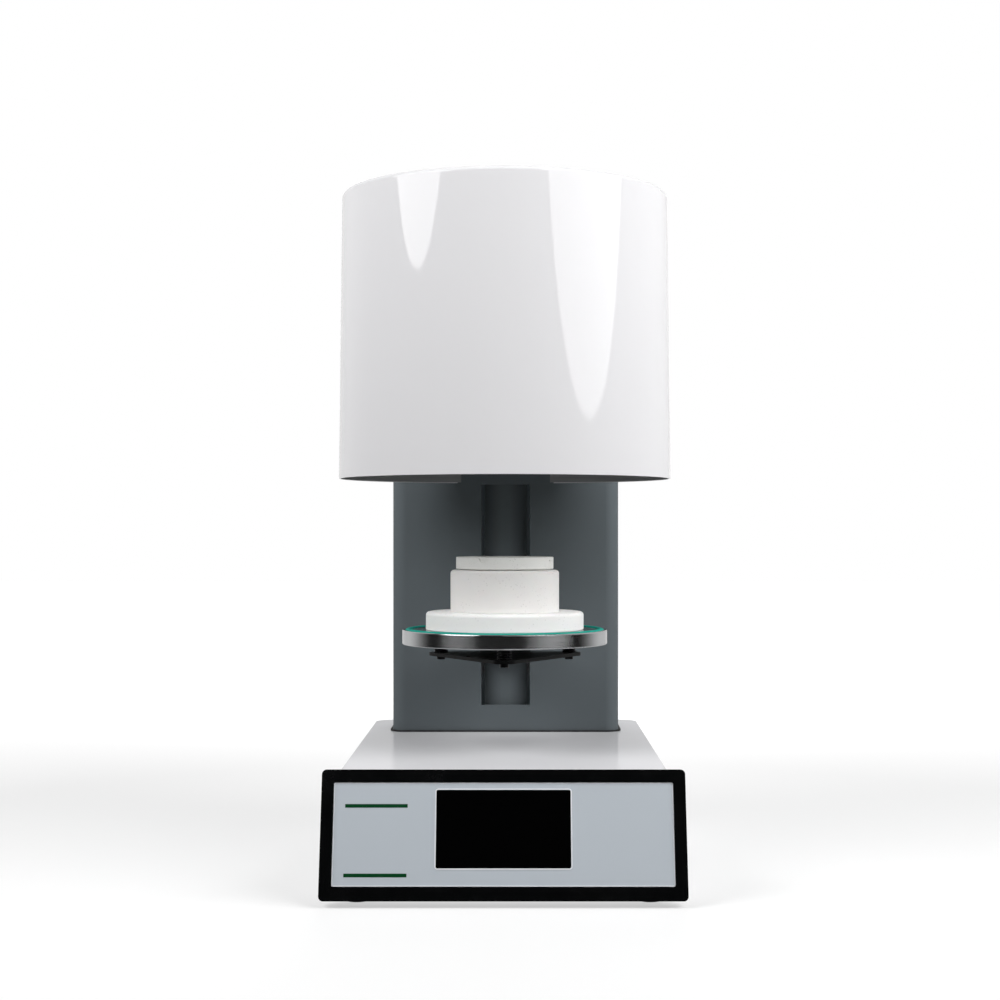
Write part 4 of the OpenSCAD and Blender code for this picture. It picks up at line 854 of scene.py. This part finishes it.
def hosePath(look):
    # up at the back, a quarter bend, forward under the top, and a quarter bend down
    x, bend, top, back, front = (look[k] for k in ("x", "bend", "top", "back", "front"))
    rise, run, steps = look["riseSteps"], look["runSteps"], look["bendSteps"]
    turns = [math.pi / 2 * i / steps for i in range(steps + 1)]
    path = [(x, back, look["low"] + (top - bend - look["low"]) * i / rise) for i in range(rise)]
    path += [(x, back - bend * (1 - math.cos(a)), top - bend * (1 - math.sin(a))) for a in turns]
    path += [(x, back - bend - (back - front - 2 * bend) * i / run, top) for i in range(1, run)]
    path += [(x, front + bend * (1 - math.sin(a)), top - bend * (1 - math.cos(a))) for a in turns]
    return path + [(x, front, look["end"])]


def clampMesh(look, x, y, inner, heights):
    # a flat ring with softened edges
    low, high = heights
    outer = inner + look["wall"]
    soft = min(look["soft"], look["wall"] * look["softShare"])
    section = [(inner, low), (inner, high), (outer - soft, high), (outer, high - soft),
               (outer, low + soft), (outer - soft, low)]
    return latheMesh("clamp", section, x, y, look["sides"], closeLoop=True)


hose = sweep("vacuum_hose_rubber", hosePath(hoseLook), hoseLook["radius"], hoseLook["sides"])
hosePiece = addPiece("vacuum_hose_rubber", hose, "rubberBlack", "housing")
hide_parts("vacuum_hose")
clamps = [clampMesh(clampLook, hoseLook["x"], hoseLook[end], hoseLook["radius"], clampLook[end])
          for end in ("back", "front")]
addPiece("hose_clamps", joinMeshes("hose_clamps", clamps), "screwSteel", "housing")
print("hose and clamps fitted")

# the leaning front: its foot, and how far the panel lies behind the bezel's face
frontLook = {"lean": math.radians(17.4), "y": -0.233, "z": 0.006, "panel": -0.0012}


def onSlope(look, x, u, w):
    # x across, u up the leaning front from its foot, w out of the bezel's face
    sine, cosine = math.sin(look["lean"]), math.cos(look["lean"])
    return Vector((x, look["y"] + u * sine - w * cosine, look["z"] + u * cosine + w * sine))


def roundedOutline(halfX, halfU, r, steps=8):
    points = []
    for cx, cu, start in ((1, 1, 0), (-1, 1, 90), (-1, -1, 180), (1, -1, 270)):
        for i in range(steps + 1):
            a = math.radians(start + 90 * i / steps)
            points.append((cx * (halfX - r) + r * math.cos(a), cu * (halfU - r) + r * math.sin(a)))
    return points


def slopeBand(name, look, section, closed):
    # section lists (inset from the outline, height over the panel); closed makes a frame
    centre, half = look["centre"], look["half"]
    loops = []
    for inset, w in section:
        outline = roundedOutline(half[0] - inset, half[1] - inset, look["r"] - inset)
        loops.append([onSlope(frontLook, centre[0] + x, centre[1] + u, frontLook["panel"] + w)
                      for x, u in outline])
    return ringMesh(name, loops, closeLoop=closed)


# centre, half size and corner radius on the slope, then width and height of the band
trimLooks = {
    "screen_trim": {"centre": (0, 0.0586), "half": (0.0563, 0.0331), "r": 0.0027,
                    "band": 0.0011, "rise": 0.0004},
    "panel_edge_trim": {"centre": (0, 0.0543), "half": (0.13985, 0.04245), "r": 0.0013,
                        "band": 0.0009, "rise": 0.0003},
}
stripLooks = {
    "upper_green_strip": {"centre": (-0.1045, 0.0775), "half": (0.0257, 0.0015), "r": 0.0003,
                          "rise": 0.00014},
    "lower_green_strip": {"centre": (-0.1045, 0.0209), "half": (0.0257, 0.0015), "r": 0.0003,
                          "rise": 0.00014},
}
bandShape = {"sunk": -0.0001, "stripSunk": -0.00005, "shoulder": 0.6, "crest": 0.2,
             "bevel": 0.00008}


def trimSection(look, shape):
    band, rise, crest = look["band"], look["rise"], shape["crest"] * look["band"]
    return [(0, shape["sunk"]), (0, rise * shape["shoulder"]), (crest, rise),
            (band - crest, rise), (band, rise * shape["shoulder"]), (band, shape["sunk"])]


def stripSection(look, shape):
    return [(0, shape["stripSunk"]), (0, look["rise"] * shape["shoulder"]),
            (shape["bevel"], look["rise"])]


for name, look in trimLooks.items():
    trim = slopeBand(name, look, trimSection(look, bandShape), True)
    addPiece(name, trim, "trimPale", "housing")
for name, look in stripLooks.items():
    strip = slopeBand(name, look, stripSection(look, bandShape), False)
    addPiece(name, strip, "stripGreen", "housing")

hemLook = {"half": 0.1335, "y": -0.1853, "z": 0.1058, "radius": 0.0009, "steps": 24}
hemPath = [(hemLook["half"] * (2 * i / hemLook["steps"] - 1), hemLook["y"], hemLook["z"])
           for i in range(hemLook["steps"] + 1)]
addPiece("cover_front_hem", sweep("cover_front_hem", hemPath, hemLook["radius"]), "baseEnamel",
         "housing")
print("panel trimmed")


def seenRays(tree):
    # 1 for rays that show the studio, 0 for those that light the part by it
    rays = putNode(tree, "LightPath").outputs
    return calc(tree, "MAXIMUM", rays["Is Camera Ray"], calc(
        tree, "MAXIMUM", rays["Is Glossy Ray"], rays["Is Transmission Ray"]))


def addStage(name, rows, colour):
    # a matt, glowing sheet of the studio; its glow is linked afterwards
    build = bmesh.new()
    grid = [[build.verts.new(point) for point in row] for row in rows]
    for near, far in zip(grid, grid[1:]):
        for i in range(len(near) - 1):
            build.faces.new((near[i], near[i + 1], far[i + 1], far[i]))
    sheet = bpy.data.objects.new(name, takeMesh(name, build))
    scene.collection.objects.link(sheet)
    material, tree, shader = startMaterial(name, {
        "Base Color": rgba(colour), "Roughness": 1.0, "Specular IOR Level": 0.0,
        "Emission Color": white})
    sheet.data.materials.append(material)
    return sheet, tree, shader.inputs["Emission Strength"]


floorLook = {"half": 9.0, "steps": 12, "colour": (0.5, 0.5, 0.5), "lift": 0.52,
             "pool": (0.7, 2.4)}


def addFloor(look):
    # the glow is weaker round the part, so that its shadow shows there
    places = [look["half"] * (2 * i / look["steps"] - 1) for i in range(look["steps"] + 1)]
    tree, glow = addStage("studioFloor", [[(x, y, 0.0) for x in places] for y in places],
                          look["colour"])[1:]
    away = putNode(tree, "VectorMath", {"operation": "LENGTH"}, {0: ownCoords(tree)}).outputs[1]
    tree.links.new(calc(tree, "MULTIPLY", seenRays(tree), remap(
        tree, away, look["pool"], (look["lift"], 1.0))), glow)


addFloor(floorLook)

worldLook = {"fill": (0.94, 0.96, 1.0), "level": 0.03}


def makeWorld(look):
    world = bpy.data.worlds.new("studioWorld")
    scene.world = world
    world.use_nodes = True
    tree = world.node_tree
    tree.nodes.clear()
    fill = putNode(tree, "Background", {}, {"Color": rgba(look["fill"]), "Strength": look["level"]})
    seen = putNode(tree, "Background", {}, {"Color": white, "Strength": 1.0})
    mixed = putNode(tree, "MixShader", {}, {0: seenRays(tree), 1: fill.outputs[0],
                                            2: seen.outputs[0]})
    output = tree.nodes.new("ShaderNodeOutputWorld")
    tree.links.new(mixed.outputs[0], output.inputs["Surface"])


makeWorld(worldLook)


def onCircle(azimuth, reach, height):
    # azimuth 0 is the camera's side and grows towards +X
    a = math.radians(azimuth)
    return Vector((reach * math.sin(a), axisY - reach * math.cos(a), height))


# glow is a lamp's own brightness, where white is 1
lampLooks = {
    "rightRound": {"azimuth": 57, "reach": 1.45, "height": 1.42, "size": 1.82, "glow": 4.65,
                   "aim": (0.0, axisY, 1.42), "mirrored": True},
    "leftRound": {"azimuth": -59, "reach": 1.45, "height": 1.42, "size": 1.35, "glow": 6.6,
                  "aim": (0.0, axisY, 1.42), "mirrored": True},
    "rightFill": {"azimuth": 92, "reach": 1.5, "height": 1.1, "size": 1.0, "glow": 0.8,
                  "aim": (0.0, axisY, 0.4), "mirrored": False},
    "rearSoft": {"azimuth": 180, "reach": 1.8, "height": 1.2, "size": 1.2, "glow": 4.5,
                 "aim": (0.0, axisY, 0.3), "mirrored": False},
}


def addLamp(name, look):
    data = bpy.data.lights.new(name, "AREA")
    data.shape = "DISK"
    data.size = look["size"]
    data.energy = look["glow"] * math.pi * (look["size"] / 2) ** 2 * math.pi
    lamp = bpy.data.objects.new(name, data)
    lamp.location = onCircle(look["azimuth"], look["reach"], look["height"])
    toward = Vector(look["aim"]) - lamp.location
    lamp.rotation_euler = toward.to_track_quat("-Z", "Y").to_euler()
    lamp.visible_camera = False
    lamp.visible_glossy = look["mirrored"]
    scene.collection.objects.link(lamp)


for name, look in lampLooks.items():
    addLamp(name, look)

drapeLook = {"radius": 3.6, "half": 180, "steps": 48, "high": 6.0, "dark": 0.01, "light": 0.85,
             "edges": (1.5, 2.4), "near": 0.34, "rise": 0.002}


def addDrape(look):
    # the dim side of the studio behind the camera, seen only in reflections, fading to white
    azimuths = [look["half"] * (2 * i / look["steps"] - 1) for i in range(look["steps"] + 1)]
    rings = ((look["near"], look["rise"]), (look["radius"], look["rise"]),
             (look["radius"], look["high"]))
    drape, tree, glow = addStage("dimStudioSide", [
        [onCircle(azimuth, reach, z) for azimuth in azimuths] for reach, z in rings], black[:3])
    parts = splitVector(tree, ownCoords(tree))
    behind = calc(tree, "SUBTRACT", axisY, parts[1])
    side = calc(tree, "ABSOLUTE", calc(tree, "ARCTAN2", parts[0], behind))
    tree.links.new(remap(tree, side, look["edges"], (look["dark"], look["light"]), "SMOOTHSTEP"),
                   glow)
    drape.visible_camera = False
    drape.visible_diffuse = False
    drape.visible_shadow = False
    drape.visible_transmission = False


addDrape(drapeLook)
print("studio lit")

scene.view_settings.view_transform = "Standard"
